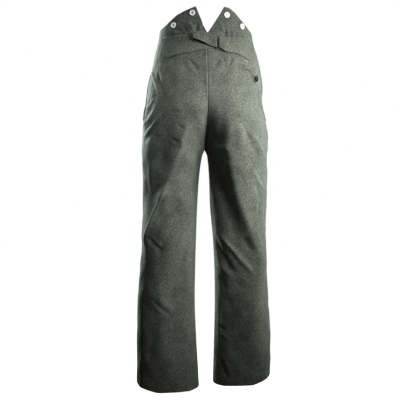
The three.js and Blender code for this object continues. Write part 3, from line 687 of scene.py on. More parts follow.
def sewingThread(name, colour):
    sheet = NodeSheet(name)
    strand = sheet.ribs(900, (0.6, 0.4, 0.9), 0.2)
    wear = sheet.noise(120, 2, 0.5)
    tint = sheet.blend(sheet.spread(wear, 0.3, 0.7), tuple(0.62 * c for c in colour[:3]) + (1.0,), colour)
    sheet.join(tint, sheet.shader.inputs["Base Color"])
    sheet.join(sheet.spread(wear, 0.3, 0.7, 0.6, 0.85), sheet.shader.inputs["Roughness"])
    sheet.join(sheet.bump(strand, 0.4, 0.0002), sheet.shader.inputs["Normal"])
    sheet.shader.inputs["Sheen Weight"].default_value = 0.2
    sheet.shader.inputs["Specular IOR Level"].default_value = 0.3
    return sheet.material


def pressedPlastic(name, clean, soiled, gloss, coat=0.25, shine=0.5):
    # moulded button: faint clouding, fine scratches, painted shade in the dish round the holes
    sheet = NodeSheet(name)
    cloud = sheet.noise(160, 3, 0.6)
    scratch = sheet.noise(700, 2, 0.6, sheet.stretched((1, 0.2, 1), (0.4, 0.9, 0.2)))
    tint = sheet.blend(sheet.spread(cloud, 0.35, 0.75, 0, 0.7), clean, soiled)
    # painted shade in the dish round the holes
    paintedDishShade = sheet.sum("MULTIPLY", sheet.mark("dishShade"), sheet.spread(cloud, 0.3, 0.6, 0.75, 1))
    tint = sheet.blend(paintedDishShade, tint, tuple(0.42 * c for c in soiled[:3]) + (1.0,))
    sheet.join(tint, sheet.shader.inputs["Base Color"])
    sheet.join(sheet.spread(scratch, 0.4, 0.7, gloss, gloss + 0.22), sheet.shader.inputs["Roughness"])
    sheet.join(sheet.bump(scratch, 0.15, 0.0002), sheet.shader.inputs["Normal"])
    sheet.shader.inputs["Coat Weight"].default_value = coat
    sheet.shader.inputs["Specular IOR Level"].default_value = shine
    sheet.shader.inputs["Coat Roughness"].default_value = 0.2
    return sheet.material


def rubbedSteel(name):
    sheet = NodeSheet(name)
    wear = sheet.noise(240, 4, 0.65)
    rubbed = sheet.spread(wear, 0.42, 0.62)
    tint = sheet.blend(rubbed, shade(28, 29, 29), shade(132, 132, 126))
    sheet.join(tint, sheet.shader.inputs["Base Color"])
    sheet.join(sheet.spread(wear, 0.3, 0.7, 0.55, 0.3), sheet.shader.inputs["Roughness"])
    sheet.join(sheet.bump(wear, 0.2, 0.0003), sheet.shader.inputs["Normal"])
    sheet.shader.inputs["Metallic"].default_value = 0.9
    return sheet.material


bodyWool = woolCloth("heathered wool")
strapWool = woolCloth("heathered wool of the straps", 1.06)
trimWool = woolCloth("heathered wool of the pocket trim", 0.98)
darkThread = sewingThread("dark thread", shade(46, 48, 44))
seamThread = sewingThread("seam thread", shade(62, 66, 58))
whiteButtonFinish = pressedPlastic("pressed white", shade(238, 239, 235), shade(214, 215, 210), 0.3)
darkButtonFinish = pressedPlastic("pressed dark", shade(13, 13, 14), shade(10, 10, 10), 0.5, 0, 0.07)
buckleFinish = rubbedSteel("rubbed dark steel")
print("materials made")


# the four panels

panelForm = {
    "thickness": 1.7, "across": 2.6, "rowStep": 3.2, "seamDip": 0.85, "seamRidge": 0.3,
    "edgeSteps": (0, 0.5, 1.1, 1.9, 3.0, 4.4, 6.2, 8.4), "peakStep": 1.7,
    "edgeRows": (0, 0.3, 0.7, 1.2, 1.8, 2.5, 3.3), "firstRow": 1.2, "lastRow": 4,
    "backShare": 0.42, "frontShare": 0.56,  # a panel's usual share of the way round its side
    "seamReach": 1.3, "ridgeInset": 3.4, "ridgeReach": 2.2,
    "turning": 0.45, "turningInset": 2.4, "turningReach": 1.6,
    "stitchInset": 5.5, "stitchDip": 0.3, "stitchReach": 1.1,
    "hemInset": 36, "hemDip": 0.25, "hemReach": 1.6, "edgeDrop": 0.5, "edgeReach": 1.3,
    "shadeWearPerCrease": 9, "shadeWearPerFold": 40,  # heights in millimetres that change the painted trough shade and ridge wear by one
    "rub": 0.8, "rubTop": 2.5, "rubHem": 3, "rubSeam": 0.5, "rubInset": 2.6, "rubReach": 1.4,
}


def panelShares(width, steps):
    # places across a panel, closer together beside its seams
    count = max(4, int((width - 2 * steps[-1]) / panelForm["across"]))
    inner = np.linspace(steps[-1], width - steps[-1], count)
    return np.concatenate([steps[:-1], inner, width - np.array(steps[:-1])[::-1]]) / width


def panelLevels():
    top, join = garment["topLevel"], garment["waistJoin"]
    low, hem = garment["hemJoin"], garment["hemLevel"]
    edge = np.array(panelForm["edgeRows"])
    upper = np.arange(top - edge[-1] - panelForm["firstRow"], join, -panelForm["peakStep"])
    middle = np.arange(join, low, -panelForm["rowStep"])
    lower = np.arange(low, hem + panelForm["lastRow"], -panelForm["rowStep"])
    return np.concatenate([top - edge, upper, middle, lower, hem + edge[::-1]])


def seamLine(side, level):
    return follow(outseam, side, level)


def panelPiece(name, node, side, isBack):
    form = panelForm
    levels = panelLevels()[:, None]
    seam = seamLine(side, levels)
    wide = form["backShare" if isBack else "frontShare"] * garment["ringLength"]
    shares = panelShares(wide, form["edgeSteps"])[None, :]
    around = seam * shares if isBack else seam + (1 - seam) * shares
    z = rowHeight(side, around, levels)
    fromSeams = np.minimum(shares, 1 - shares) * wide + 0 * z
    dip = -form["seamDip"] * bell(fromSeams, form["seamReach"])
    dip += form["seamRidge"] * bell(fromSeams - form["ridgeInset"], form["ridgeReach"])
    if isBack and side == "L":  # the turnings of the centre back seam lie to the left
        dip += form["turning"] * bell(shares * wide - form["turningInset"], form["turningReach"])
    fromTop = rowHeight(side, around, np.full_like(levels, garment["topLevel"])) - z
    dip -= form["stitchDip"] * bell(fromTop - form["stitchInset"], form["stitchReach"])
    dip -= form["edgeDrop"] * bell(fromTop, form["edgeReach"])
    fromHem = z - rowHeight(side, around, np.full_like(levels, garment["hemLevel"]))
    dip -= form["hemDip"] * bell(fromHem - form["hemInset"], form["hemReach"])
    dip -= form["edgeDrop"] * bell(fromHem, form["edgeReach"])
    outer = clothPoint(side, around, z, dip)
    inner = clothPoint(side, around, z, dip - form["thickness"])
    centre = 0 if isBack else -1
    shut = z[:, centre] > garment["crotchLevel"] - 1  # the two sides meet above the crotch
    outer[shut, centre, 0] = 0
    inner[shut, centre, 0] = 0
    # painted shade: the cloth darker in the troughs of creases and folds, lighter on their ridges as wear
    wear = creaseDepth(side, around, z) / form["shadeWearPerCrease"]
    foldShadeAndWear = np.clip(0.5 + wear + broadDepth(side, around, z) / form["shadeWearPerFold"], 0, 1)
    rub = np.maximum(bell(fromTop, form["rubTop"]), bell(fromHem, form["rubHem"]))
    rub = np.maximum(rub, form["rubSeam"] * bell(fromSeams - form["rubInset"], form["rubReach"]))
    piece = gridShell(name, outer, inner, {"foldShadeAndWear": foldShadeAndWear, "rub": form["rub"] * rub})
    fitted(piece, bodyWool, "wool", node)
    return piece, clothArea((outer + inner) / 2)


panels = (  # piece, node, side, back or front, cut width and length in metres, what it is sewn to
    ("leftBackPanel", "back_left", "L", True, (0.252, 1.185), ["back_right", "front_left"]),
    ("rightBackPanel", "back_right", "R", True, (0.262, 1.18), ["back_left", "front_right"]),
    ("leftFrontPanel", "front_left", "L", False, (0.305, 1.14), ["back_left", "front_right"]),
    ("rightFrontPanel", "front_right", "R", False, (0.292, 1.12), ["back_right", "front_left"]),
)
for name, node, side, isBack, flat, sewnTo in panels:
    piece, area = panelPiece(name, node, side, isBack)
    print("made", name, "of", round(area, 4), "square metres")


# cinch tabs and strap: rows of width from centre back, top, bottom and lift off the cloth

lay = {
    "gap": 0.75, "flare": 1.9, "under": 1.75, "foldRadius": 3.0, "bar": 4.75,
    "strapBar": -26.0, "tabBar": -36.0, "thickness": 1.9, "frameTop": 10.5, "frameBottom": -25.5,
    "flareMore": 1.1, "flareAt": 8, "flareReach": 11,
}
strapForm = {
    "step": 1.5, "blur": 3, "edgeShares": (0, 0.02, 0.05, 0.09), "innerShares": (0.13, 0.87, 18),
    "edgeDrop": 0.55, "edgeReach": 1.2, "sewnDip": 0.28, "sewnInset": 3.4, "sewnReach": 0.8,
    "wrinkleLevel": 12, "rub": 0.8, "rubReach": 1.6,
}
leftUnder = (
    (135, 5, -17), (133.5, 11, -28), (129.5, 13, -39), (123, 13, -47), (114, 13, -52), (103, 13.5, -47.5),
    (92, 14, -44), (76, 13.5, -41.5), (59, 13, -39), (40, 13, -35), (20, 12.5, -31), (2, 11, -28),
    (-13, 9, -25.5),
)
freeEnd = (
    (-13, 15, -20.5, 5.8), (0, 21, -13.5, 7.2), (13, 22.5, -6.5, 10.2), (27, 23, -0.5, 13.2),
    (36, 23, 1.5, 15.2), (40, 20, 6, 15.8),
)
rightUnder = ((-54, 2, -21), (-45, 3.5, -22))
rightOver = (
    (-44, 6, -29, 5.9), (-54, 6.5, -34.5, 4.35), (-62, 7, -36, 2.6), (-70, 7.5, -36.5, 1.75),
    (-85, 8.5, -38, 1.75), (-95, 9.5, -41, 1.75), (-111, 10, -48, 1.75), (-127, 10, -55, 1.75),
    (-136, 9, -49, 1.75), (-142, 7, -42, 1.75), (-145.5, 2, -34, 1.75),
)


def halfTurn(bar, toward, top, bottom):
    rows = []
    for degrees in (-90, -54, -18, 18, 54, 90):
        awayX = toward * math.cos(math.radians(degrees))
        away = math.sin(math.radians(degrees))
        lift = lay["bar"] + away * lay["foldRadius"]
        rows.append((bar + awayX * lay["foldRadius"], top, bottom, lift, awayX, away))
    return rows


def denseRows(rows, step, blur):
    # even steps along the strap, with the corners between the rows softened
    rows = np.array(rows, float)
    run = np.concatenate([[0], np.cumsum(np.hypot(np.diff(rows[:, 0]), np.diff(rows[:, 3])))])
    places = np.linspace(0, run[-1], int(run[-1] / step) + 1)
    dense = np.stack([np.interp(places, run, rows[:, c]) for c in range(rows.shape[1])], axis=1)
    soft = dense.copy()
    for _ in range(blur):
        soft[1:-1] = soft[1:-1] / 2 + (soft[:-2] + soft[2:]) / 4
    return soft


def strapFlare(share, x):
    # how far a strap's lower edge stands off, most of all beside its free end
    more = 1 + lay["flareMore"] * bell(x - lay["flareAt"], lay["flareReach"])
    return lay["flare"] * share ** 5 * more


def strapPiece(name, node, rows, wrinkles):
    form = strapForm
    dense = denseRows(rows, form["step"], form["blur"])
    x, top, bottom, lift, awayX, away = (dense[:, c][:, None] for c in range(6))
    edge = np.array(form["edgeShares"])
    shares = np.concatenate([edge, np.linspace(*form["innerShares"]), 1 - edge[::-1]])[None, :]
    z = top + (bottom - top) * shares
    tall = np.abs(top - bottom)
    fromEdge = np.minimum(shares, 1 - shares) * tall
    crown = -form["edgeDrop"] * bell(fromEdge, form["edgeReach"])
    crown = crown - form["sewnDip"] * bell(fromEdge - form["sewnInset"], form["sewnReach"])
    for place, lean, width, height in wrinkles:
        crown = crown + height * bell(x - place - lean * (z + form["wrinkleLevel"]), width)
    flare = strapFlare(shares, x)
    half = lay["thickness"] / 2

    def skin(side):
        raised = lift + flare + away * side * half + crown * np.where(away * side > 0.3, 1, 0)
        return backPoint(x + awayX * side * half + 0 * z, z, raised + 0 * z)

    outer, inner = skin(1), skin(-1)
    rub = bell(fromEdge, form["rubReach"]) * form["rub"] + 0 * z
    # painted shade: darker where the strap dips at its edges, along its stitched line and in its wrinkles
    foldShadeAndWear = np.clip(0.62 + crown / 2.5, 0, 1) + 0 * z
    piece = gridShell(name, outer, inner, {"foldShadeAndWear": foldShadeAndWear, "rub": rub})
    fitted(piece, strapWool, "tab_wool", node)
    area = clothArea((outer + inner) / 2)
    print("made", name, "of", round(area, 5), "square metres")
    return dense


strapRows = [row + (lay["under"], 0, -1) for row in leftUnder]
strapRows += halfTurn(lay["strapBar"], -1, 8, -22.5)
strapRows += [row + (0, 1) for row in freeEnd]
strapPath = strapPiece("cinchStrap", "cinch_tab_left", strapRows,
                       ((88, 0.3, 5, 0.35), (62, -0.2, 7, -0.4), (24, 0.2, 5, 0.4)))
tabRows = [row + (lay["under"], 0, -1) for row in rightUnder]
tabRows += halfTurn(lay["tabBar"], 1, 5, -23)
tabRows += [row + (0, 1) for row in rightOver]
tabPath = strapPiece("cinchTab", "cinch_tab_right", tabRows,
                     ((-68, 0.25, 5, 0.4), (-92, -0.2, 8, -0.35)))


# buckle: a bent wire frame with rounded corners

buckleForm = {"wire": 1.2, "corner": 2.4, "cornerSteps": 7, "round": 14}


def tube(path, radius, around, closed=False):
    # tube of quads along a path in millimetres, open at its ends unless it closes on itself
    path = np.asarray(path, float)
    if closed:
        along = np.roll(path, -1, axis=0) - np.roll(path, 1, axis=0)
    else:
        along = np.gradient(path, axis=0)
    along /= np.linalg.norm(along, axis=1, keepdims=True)
    up = np.array([0.31, 0.17, 0.93])
    first = np.cross(along, up)
    first /= np.linalg.norm(first, axis=1, keepdims=True)
    second = np.cross(along, first)
    radius = np.broadcast_to(np.asarray(radius, float), (len(path),))
    angle = np.linspace(0, 2 * math.pi, around, endpoint=False)
    ring = first[:, None] * np.cos(angle)[:, None] + second[:, None] * np.sin(angle)[:, None]
    points = (path[:, None] + ring * radius[:, None, None]).reshape(-1, 3)
    count = len(path)
    j = np.arange(count if closed else count - 1)[:, None] * around
    i = np.arange(around)
    n = np.roll(i, -1)
    nextRow = (j + around) % (count * around)
    faces = np.stack([j + i, j + n, nextRow + n, nextRow + i], axis=-1)
    return points, faces.reshape(-1, 4)


def joined(parts):
    points, faces, start = [], [], 0
    for p, f in parts:
        points.append(p)
        faces.append(f + start)
        start += len(p)
    return np.concatenate(points), np.concatenate(faces)


def roundedLoop(corners, radius, steps):
    path = []
    for k, corner in enumerate(corners):
        before = corners[k - 1] - corner
        after = corners[(k + 1) % len(corners)] - corner
        start = corner + before / np.linalg.norm(before) * radius
        end = corner + after / np.linalg.norm(after) * radius
        for t in np.linspace(0, 1, steps):
            path.append((1 - t) ** 2 * start + 2 * t * (1 - t) * corner + t * t * end)
    return np.array(path)


def makeBuckle():
    xs = (lay["strapBar"], lay["tabBar"], lay["tabBar"], lay["strapBar"])
    zs = (lay["frameTop"], lay["frameTop"], lay["frameBottom"], lay["frameBottom"])
    corners = [backPoint(x, z, lay["bar"]) for x, z in zip(xs, zs)]
    path = roundedLoop(corners, buckleForm["corner"], buckleForm["cornerSteps"])
    points, faces = tube(path, buckleForm["wire"], buckleForm["round"], closed=True)
    piece = meshPiece("cinchBuckle", points * mm, faces)
    fitted(piece, buckleFinish, "buckle_steel", "cinch_buckle")


makeBuckle()
print("made the buckle")


# buttons, sewn through four holes

buttonForm = {
    "holeRadius": 0.95, "holeSpacing": 2.4, "lift": 0.4, "segments": 56, "threadRadius": 0.42,
    # reach and fade of the painted shade in the dish, and the height below which none is painted
    "dishShadeReach": 5.2, "dishShadeFade": 1.2, "dishShadeFloor": 1.0, "sharpEdge": 35, "braceDiameter": 17,
    "holeSides": 16, "holeLevels": (-1, 0.6, 1.3, 4), "threadSides": 8, "threadOffset": 0.28,
    # share of the way between two holes, then height over the button's foot
    "threadPath": ((0, -0.3), (0, 1.2), (0.04, 1.95), (0.2, 2.25), (0.5, 2.32), (0.8, 2.25),
                   (0.96, 1.95), (1, 1.2), (1, -0.3)),
    # how much smaller than the rim, then height, from under the foot round to the dish; none at the middle
    "profile": ((None, 0), (1.6, 0), (0.8, 0.12), (0.25, 0.5), (0, 1.1), (0, 1.8), (0.2, 2.35),
                (0.65, 2.72), (1.2, 2.8), (1.75, 2.62), (2.2, 2.2), (2.7, 1.9), (3.4, 1.8),
                (None, 1.78)),
}
backButtons = (  # piece, node, width from centre back, level, turn of the holes
    ("leftInnerBackButton", "back_brace_button_left_inner", 44.5, 80, 0.2),
    ("leftOuterBackButton", "back_brace_button_left_outer", 99, 47, 0.9),
    ("rightInnerBackButton", "back_brace_button_right_inner", -59, 75.5, 0.5),
    ("rightOuterBackButton", "back_brace_button_right_outer", -108, 46, 1.2),
)
otherButtons = (  # piece, node, side, round, level, diameter, rest, white or not, turn of the holes
    ("leftInnerFrontButton", "front_brace_button_left_inner", "L", 0.84, 18, 17, 0.4, True, 0.3),
    ("leftOuterFrontButton", "front_brace_button_left_outer", "L", 0.7, 20, 17, 0.4, True, 0.8),
    ("rightInnerFrontButton", "front_brace_button_right_inner", "R", 0.84, 18, 17, 0.4, True, 0.1),
    ("rightOuterFrontButton", "front_brace_button_right_outer", "R", 0.7, 20, 17, 0.4, True, 0.7),
    ("hipPocketButton", "hip_pocket_button", "R", 0.314, -113, 18, 3.15, False, 0.5),
    ("waistButton", "waist_button", "L", 0.96, 15, 20, 3.55, False, 0.2),
)


def buttonPose(side, around, z):
    # centre on the cloth, then the button's across, up and outward directions
    across = clothPoint(side, around + 0.01, z, 0, False) - clothPoint(side, around - 0.01, z, 0, False)
    down = clothPoint(side, around, z - 4, 0, False) - clothPoint(side, around, z + 4, 0, False)
    out = np.cross(across, down)
    out /= np.linalg.norm(out)
    if out @ outward(side, around, z) < 0:
        out = -out
    up = np.array([0, 0, 1]) - out * out[2]
    up /= np.linalg.norm(up)
    return clothPoint(side, around, z, 0, False), np.cross(up, out), up, out


def sewnButton(name, node, side, around, z, diameter, rest, white, turned):
    centre, across, up, out = buttonPose(side, around, z)
    radius, segments = diameter / 2, buttonForm["segments"]
    profile = [(0 if less is None else radius - less, height) for less, height in buttonForm["profile"]]
    angle = np.linspace(0, 2 * math.pi, segments, endpoint=False)
    rings = np.array([[(r * math.cos(a), r * math.sin(a), h) for a in angle] for r, h in profile[1:-1]])
    points = np.concatenate([rings.reshape(-1, 3), [(0, 0, profile[0][1]), (0, 0, profile[-1][1])]])
    mesh = bpy.data.meshes.new(name)
    faces = []
    for j in range(len(rings) - 1):
        low, high = j * segments, (j + 1) * segments
        for i in range(segments):
            n = (i + 1) % segments
            faces.append((low + i, low + n, high + n, high + i))
    last = (len(rings) - 1) * segments
    for i in range(segments):
        n = (i + 1) % segments
        faces.append((len(points) - 2, n, i))
        faces.append((len(points) - 1, last + i, last + n))
    mesh.from_pydata(points.tolist(), [], faces)
    piece = inScene(name, mesh)
    cutHoles(piece, turned)
    pose = np.stack([across, up, out], axis=1)
    local = np.empty(len(piece.data.vertices) * 3, np.float32)
    piece.data.vertices.foreach_get("co", local)
    placed = (local.reshape(-1, 3) @ pose.T + centre + out * rest) * mm
    piece.data.vertices.foreach_set("co", placed.astype(np.float32).ravel())
    # painted shade in the dish round the holes, marked for the material
    fromMiddle = np.hypot(*local.reshape(-1, 3)[:, :2].T)
    dishShade = np.clip((buttonForm["dishShadeReach"] - fromMiddle) / buttonForm["dishShadeFade"], 0, 1)
    dishShade[local[2::3] < buttonForm["dishShadeFloor"]] = 0
    writeMark(piece, "dishShade", dishShade)
    piece.data.update()
    slotName = "pressed_white" if white else "pressed_dark"
    fitted(piece, whiteButtonFinish if white else darkButtonFinish, slotName, node)
    sewingOf(name, centre + out * rest, across, up, out, turned, white)


def holePlaces(turned):
    reach = buttonForm["holeSpacing"]
    return [(reach * math.cos(turned + k * math.pi / 2), reach * math.sin(turned + k * math.pi / 2))
            for k in range(4)]


def faceOutward(mesh):
    work = bmesh.new()
    work.from_mesh(mesh)
    bmesh.ops.recalc_face_normals(work, faces=work.faces)
    work.to_mesh(mesh)
    work.free()


def cutHoles(piece, turned):
    pins = []
    sides, heights = buttonForm["holeSides"], buttonForm["holeLevels"]
    for x, y in holePlaces(turned):
        pins.append(tube([(x, y, h) for h in heights], buttonForm["holeRadius"], sides))
    points, faces = joined(pins)
    mesh = bpy.data.meshes.new("pins")
    polygons = faces.tolist()
    for k in range(len(pins)):
        foot = k * len(heights) * sides
        head = foot + (len(heights) - 1) * sides
        polygons.append([foot + i for i in range(sides)][::-1])
        polygons.append([head + i for i in range(sides)])
    mesh.from_pydata(points.tolist(), [], polygons)
    faceOutward(mesh)
    faceOutward(piece.data)
    cutter = inScene("pins", mesh)
    cut = piece.modifiers.new("holes", "BOOLEAN")
    cut.operation = "DIFFERENCE"
    cut.solver = "EXACT"
    cut.object = cutter
    graph = bpy.context.evaluated_depsgraph_get()
    done = bpy.data.meshes.new_from_object(piece.evaluated_get(graph))
    piece.modifiers.clear()
    piece.data = done
    done.polygons.foreach_set("use_smooth", np.ones(len(done.polygons), dtype=bool))
    done.set_sharp_from_angle(angle=math.radians(buttonForm["sharpEdge"]))
    bpy.data.objects.remove(cutter)


def sewingOf(name, base, across, up, out, turned, white):
    # thread up through the holes and over the middle, two strands to each pair of holes
    holes = holePlaces(turned)
    parts = []
    for a, b in ((0, 1), (2, 3)):
        for offset in (-buttonForm["threadOffset"], buttonForm["threadOffset"]):
            (ax, ay), (bx, by) = holes[a], holes[b]
            run = np.array([bx - ax, by - ay])
            side = np.array([-run[1], run[0]]) / np.linalg.norm(run) * offset
            ends = (np.array([ax, ay]) + side, np.array([bx, by]) + side)
            path = []
            for t, height in buttonForm["threadPath"]:
                flat = ends[0] + (ends[1] - ends[0]) * t
                path.append(base + across * flat[0] + up * flat[1] + out * height)
            parts.append(tube(path, buttonForm["threadRadius"], buttonForm["threadSides"]))
    points, faces = joined(parts)
    piece = meshPiece(name + "Thread", points * mm, faces)
    fitted(piece, seamThread if white else darkThread, "wool")


for name, node, x, z, turned in backButtons:
    side = "L" if x > 0 else "R"
    around = float(roundAt(side, x, z))
    sewnButton(name, node, side, around, z, buttonForm["braceDiameter"], buttonForm["lift"], True, turned)
for name, node, side, around, z, diameter, rest, white, turned in otherButtons:
    sewnButton(name, node, side, around, z, diameter, rest, white, turned)
print("made the buttons")


# pocket flap, pocket welts and fly placket, laid on the cloth

trimForm = {
    "edgeDrop": 0.6, "edgeReach": 0.9, "sewnDip": 0.28, "sewnInset": 3.2, "sewnReach": 0.8,
    "rub": 0.75, "rubReach": 1.5,
}
flapForm = {
    "top": -72.0, "thickness": 1.2, "across": 1.2, "rows": 34, "underGap": 0.15, "freeLift": 0.15,
    "blur": (-0.003, -0.0015, 0, 0.0015, 0.003), "buttonRound": 0.314, "buttonLevel": -113,
}
flapEdge = (
    (0.205, 0.235, 0.262, 0.275, 0.283, 0.296, 0.314, 0.332, 0.345, 0.353, 0.368, 0.402),
    (-86, -88.5, -90.5, -97, -114, -124, -128.5, -124, -114, -97, -90.5, -86),
)


def laidPiece(name, node, side, around, z, raised, thickness, fromEdge):
    form = trimForm
    crown = -form["edgeDrop"] * bell(fromEdge, form["edgeReach"])
    crown = crown - form["sewnDip"] * bell(fromEdge - form["sewnInset"], form["sewnReach"])
    outer = clothPoint(side, around, z, raised + thickness + crown)
    inner = clothPoint(side, around, z, raised + 0 * crown)
    rub = form["rub"] * bell(fromEdge, form["rubReach"])
    # painted shade: darker where the piece dips at its edges and along its stitched line
    foldShadeAndWear = np.clip(0.55 + crown / 3, 0, 1)
    piece = gridShell(name, outer, inner, {"foldShadeAndWear": foldShadeAndWear, "rub": rub})
    fitted(piece, trimWool, "wool", node)
    area = clothArea((outer + inner) / 2)
    print("made", name, "of", round(area, 6), "square metres")


def flapOutline():
    # the flap's free edge as places of (round, level), with its two top corners
    top = flapForm["top"]
    return [(flapEdge[0][0], top), *zip(*flapEdge), (flapEdge[0][-1], top)]


def makeFlap():
    first, last = flapEdge[0][0], flapEdge[0][-1]
    ring = garment["ringLength"]
    around = np.linspace(first, last, int((last - first) * ring / flapForm["across"]))[None, :]
    bottom = np.zeros_like(around)
    for shift in flapForm["blur"]:
        bottom += np.interp(np.clip(around + shift, first, last), *flapEdge) / len(flapForm["blur"])
    shares = np.linspace(0, 1, flapForm["rows"])[:, None]
    z = flapForm["top"] + (bottom - flapForm["top"]) * shares
    around = around + 0 * z
    fromEdge = awayFrom(np.array(flapOutline(), float) * (ring, 1), around * ring, z)
    raised = lay["gap"] + flapForm["underGap"] + flapForm["freeLift"] * shares ** 2 + 0 * z
    laidPiece("hipPocketFlap", "hip_pocket_flap", "R", around, z, raised, flapForm["thickness"],
              fromEdge)


def awayFrom(line, x, z):
    # distance from each place to an open line of points
    best = np.full(x.shape, 1e9)
    for a, b in zip(line[:-1], line[1:]):
        d = b - a
        s = np.clip(((x - a[0]) * d[0] + (z - a[1]) * d[1]) / max(d @ d, 1e-9), 0, 1)
        best = np.minimum(best, np.hypot(x - a[0] - s * d[0], z - a[1] - s * d[1]))
    return best


weltForm = {
    "top": -92.0, "bottom": -236.0, "width": 0.026, "thickness": 1.8,
    "rows": 90, "columns": 15, "length": 150,
}
welts = (  # piece, node, side, round at the top, round at the bottom, what it rests on
    ("leftPocketWelt", "side_pocket_welt_left", "L", 0.53, 0.445, ["leftFrontPanel"]),
    ("rightPocketWelt", "side_pocket_welt_right", "R", 0.55, 0.47, ["rightFrontPanel"]),
)


def weltLevel(t):
    return weltForm["top"] + (weltForm["bottom"] - weltForm["top"]) * t


def makeWelts():
    for name, node, side, top, bottom, restsOn in welts:
        t = np.linspace(0, 1, weltForm["rows"])[:, None]
        s = np.linspace(0, 1, weltForm["columns"])[None, :]
        z = weltLevel(t) + 0 * s
        around = top + (bottom - top) * t + s * weltForm["width"]
        wide = weltForm["width"] * garment["ringLength"]
        fromEdge = np.minimum(np.minimum(s, 1 - s) * wide, np.minimum(t, 1 - t) * weltForm["length"])
        laidPiece(name, node, side, around, z, lay["gap"] + 0 * z, weltForm["thickness"], fromEdge)


flyForm = {
    "top": 31, "bottom": -161, "thickness": 1.8, "rows": 110, "columns": 20, "firstShare": 1 / 36,
}
flyEdge = (  # level and width
    (31, 12, -12, -40, -70, -100, -125, -142, -154, -161),
    (36, 36, 36, 36, 36, 36, 35, 31, 23, 12),
)


def makeFly():
    top, bottom = flyForm["top"], flyForm["bottom"]
    z = np.linspace(top, bottom, flyForm["rows"])[:, None]
    wide = np.interp(-z, -np.array(flyEdge[0], float), flyEdge[1])
    s = np.linspace(flyForm["firstShare"], 1, flyForm["columns"])[None, :]
    z = z + 0 * s
    around = 1 - roundAt("L", wide * s, z)
    fromEdge = np.minimum(np.minimum(wide * (1 - s), wide * s), np.minimum(top - z, z - bottom))
    laidPiece("flyPlacket", "fly_placket", "L", around, z, lay["gap"] + 0 * z, flyForm["thickness"],
              fromEdge)


makeFlap()
makeWelts()
makeFly()
print("made the pocket trim and the fly")


# stitching: each stitch a short thread that dips into the cloth at its ends

stitchForm = {
    "length": 2.7, "gap": 0.8, "radius": 0.24, "around": 6, "seed": 11, "inset": 3.3,
    "wrapRadius": 0.3, "wrapStep": 0.66, "wrapWidth": 2.1, "tackLength": 11.0,
    "holeLength": 22.0, "holeHalf": 1.15, "hemPitch": 9.0, "hemLength": 1.3,
}


def thread(points, outs, rise, radius):
    return tube(points + outs * np.array(rise)[:, None], radius, stitchForm["around"])


def stitchRow(points, outs, length=stitchForm["length"], gap=stitchForm["gap"]):
    # stitches along a path of points with outward directions
    random = np.random.default_rng(stitchForm["seed"])
    run = np.concatenate([[0], np.cumsum(np.linalg.norm(np.diff(points, axis=0), axis=1))])
    parts = []
    for k in range(int(run[-1] / (length + gap))):
        start = k * (length + gap) + random.uniform(-0.15, 0.15)
        spots = start + np.array([0, 0.2, 0.5, 0.8, 1]) * length
        path = np.stack([np.interp(spots, run, points[:, c]) for c in range(3)], axis=1)
        away = np.stack([np.interp(spots, run, outs[:, c]) for c in range(3)], axis=1)
        parts.append(thread(path, away, (-0.45, 0.1, 0.17, 0.1, -0.45), stitchForm["radius"]))
    return parts


def clothRow(side, around, z, lift):
    return stitchRow(clothPoint(side, around, z, lift), outward(side, around, z))


def wrapped(side, around, z, lift, lean, length, width):
    # threads laid close together across a bar that leans from level by some degrees
    turn, parts = math.radians(lean), []
    for s in np.arange(-length / 2, length / 2, stitchForm["wrapStep"]):
        t = np.array([-0.5, -0.42, 0, 0.42, 0.5]) * width
        across = around + (s * math.cos(turn) - t * math.sin(turn)) / garment["ringLength"]
        level = z + s * math.sin(turn) + t * math.cos(turn)
        points = clothPoint(side, across, level, lift)
        outs = outward(side, across, level)
        parts.append(thread(points, outs, (-0.4, 0.1, 0.22, 0.1, -0.4), stitchForm["wrapRadius"]))
    return parts


def buttonhole(side, around, z, lift, lean):
    parts, turn = [], math.radians(lean)
    for way in (-1, 1):
        shift = way * stitchForm["holeHalf"]
        parts += wrapped(side, around - shift * math.sin(turn) / garment["ringLength"],
                         z + shift * math.cos(turn), lift, lean, stitchForm["holeLength"], 1.5)
    return parts


def strapSewing(dense, crossings):
    # rows inside both edges of each flat part of a strap, on the side that shows, and rows across it
    parts = []
    away = dense[:, 5]
    for shown in (-1, 1):
        rows = dense[away * shown > 0.97]
        if len(rows) < 6:
            continue
        x, top, bottom, lift = rows[:, 0], rows[:, 1], rows[:, 2], rows[:, 3]
        tall = top - bottom

        def spot(share, offset, keep):
            raised = lift[keep] + strapFlare(share, x[keep]) + lay["thickness"] / 2 + offset
            return backPoint(x[keep], top[keep] - tall[keep] * share, raised)

        every = np.arange(len(rows))
        wide = every[tall > 3 * stitchForm["inset"]]
        for share in (stitchForm["inset"] / tall[wide], 1 - stitchForm["inset"] / tall[wide]):
            low = spot(share, -0.3, wide)
            parts += stitchRow(low, spot(share, 0.7, wide) - low)
        for place in crossings:
            if not x.min() < place < x.max():
                continue
            k = np.full(30, np.argmin(np.abs(x - place)))
            share = np.linspace(0.1, 0.9, 30)
            low = spot(share, -0.05, k)
            parts += stitchRow(low, spot(share, 0.95, k) - low)
    return parts


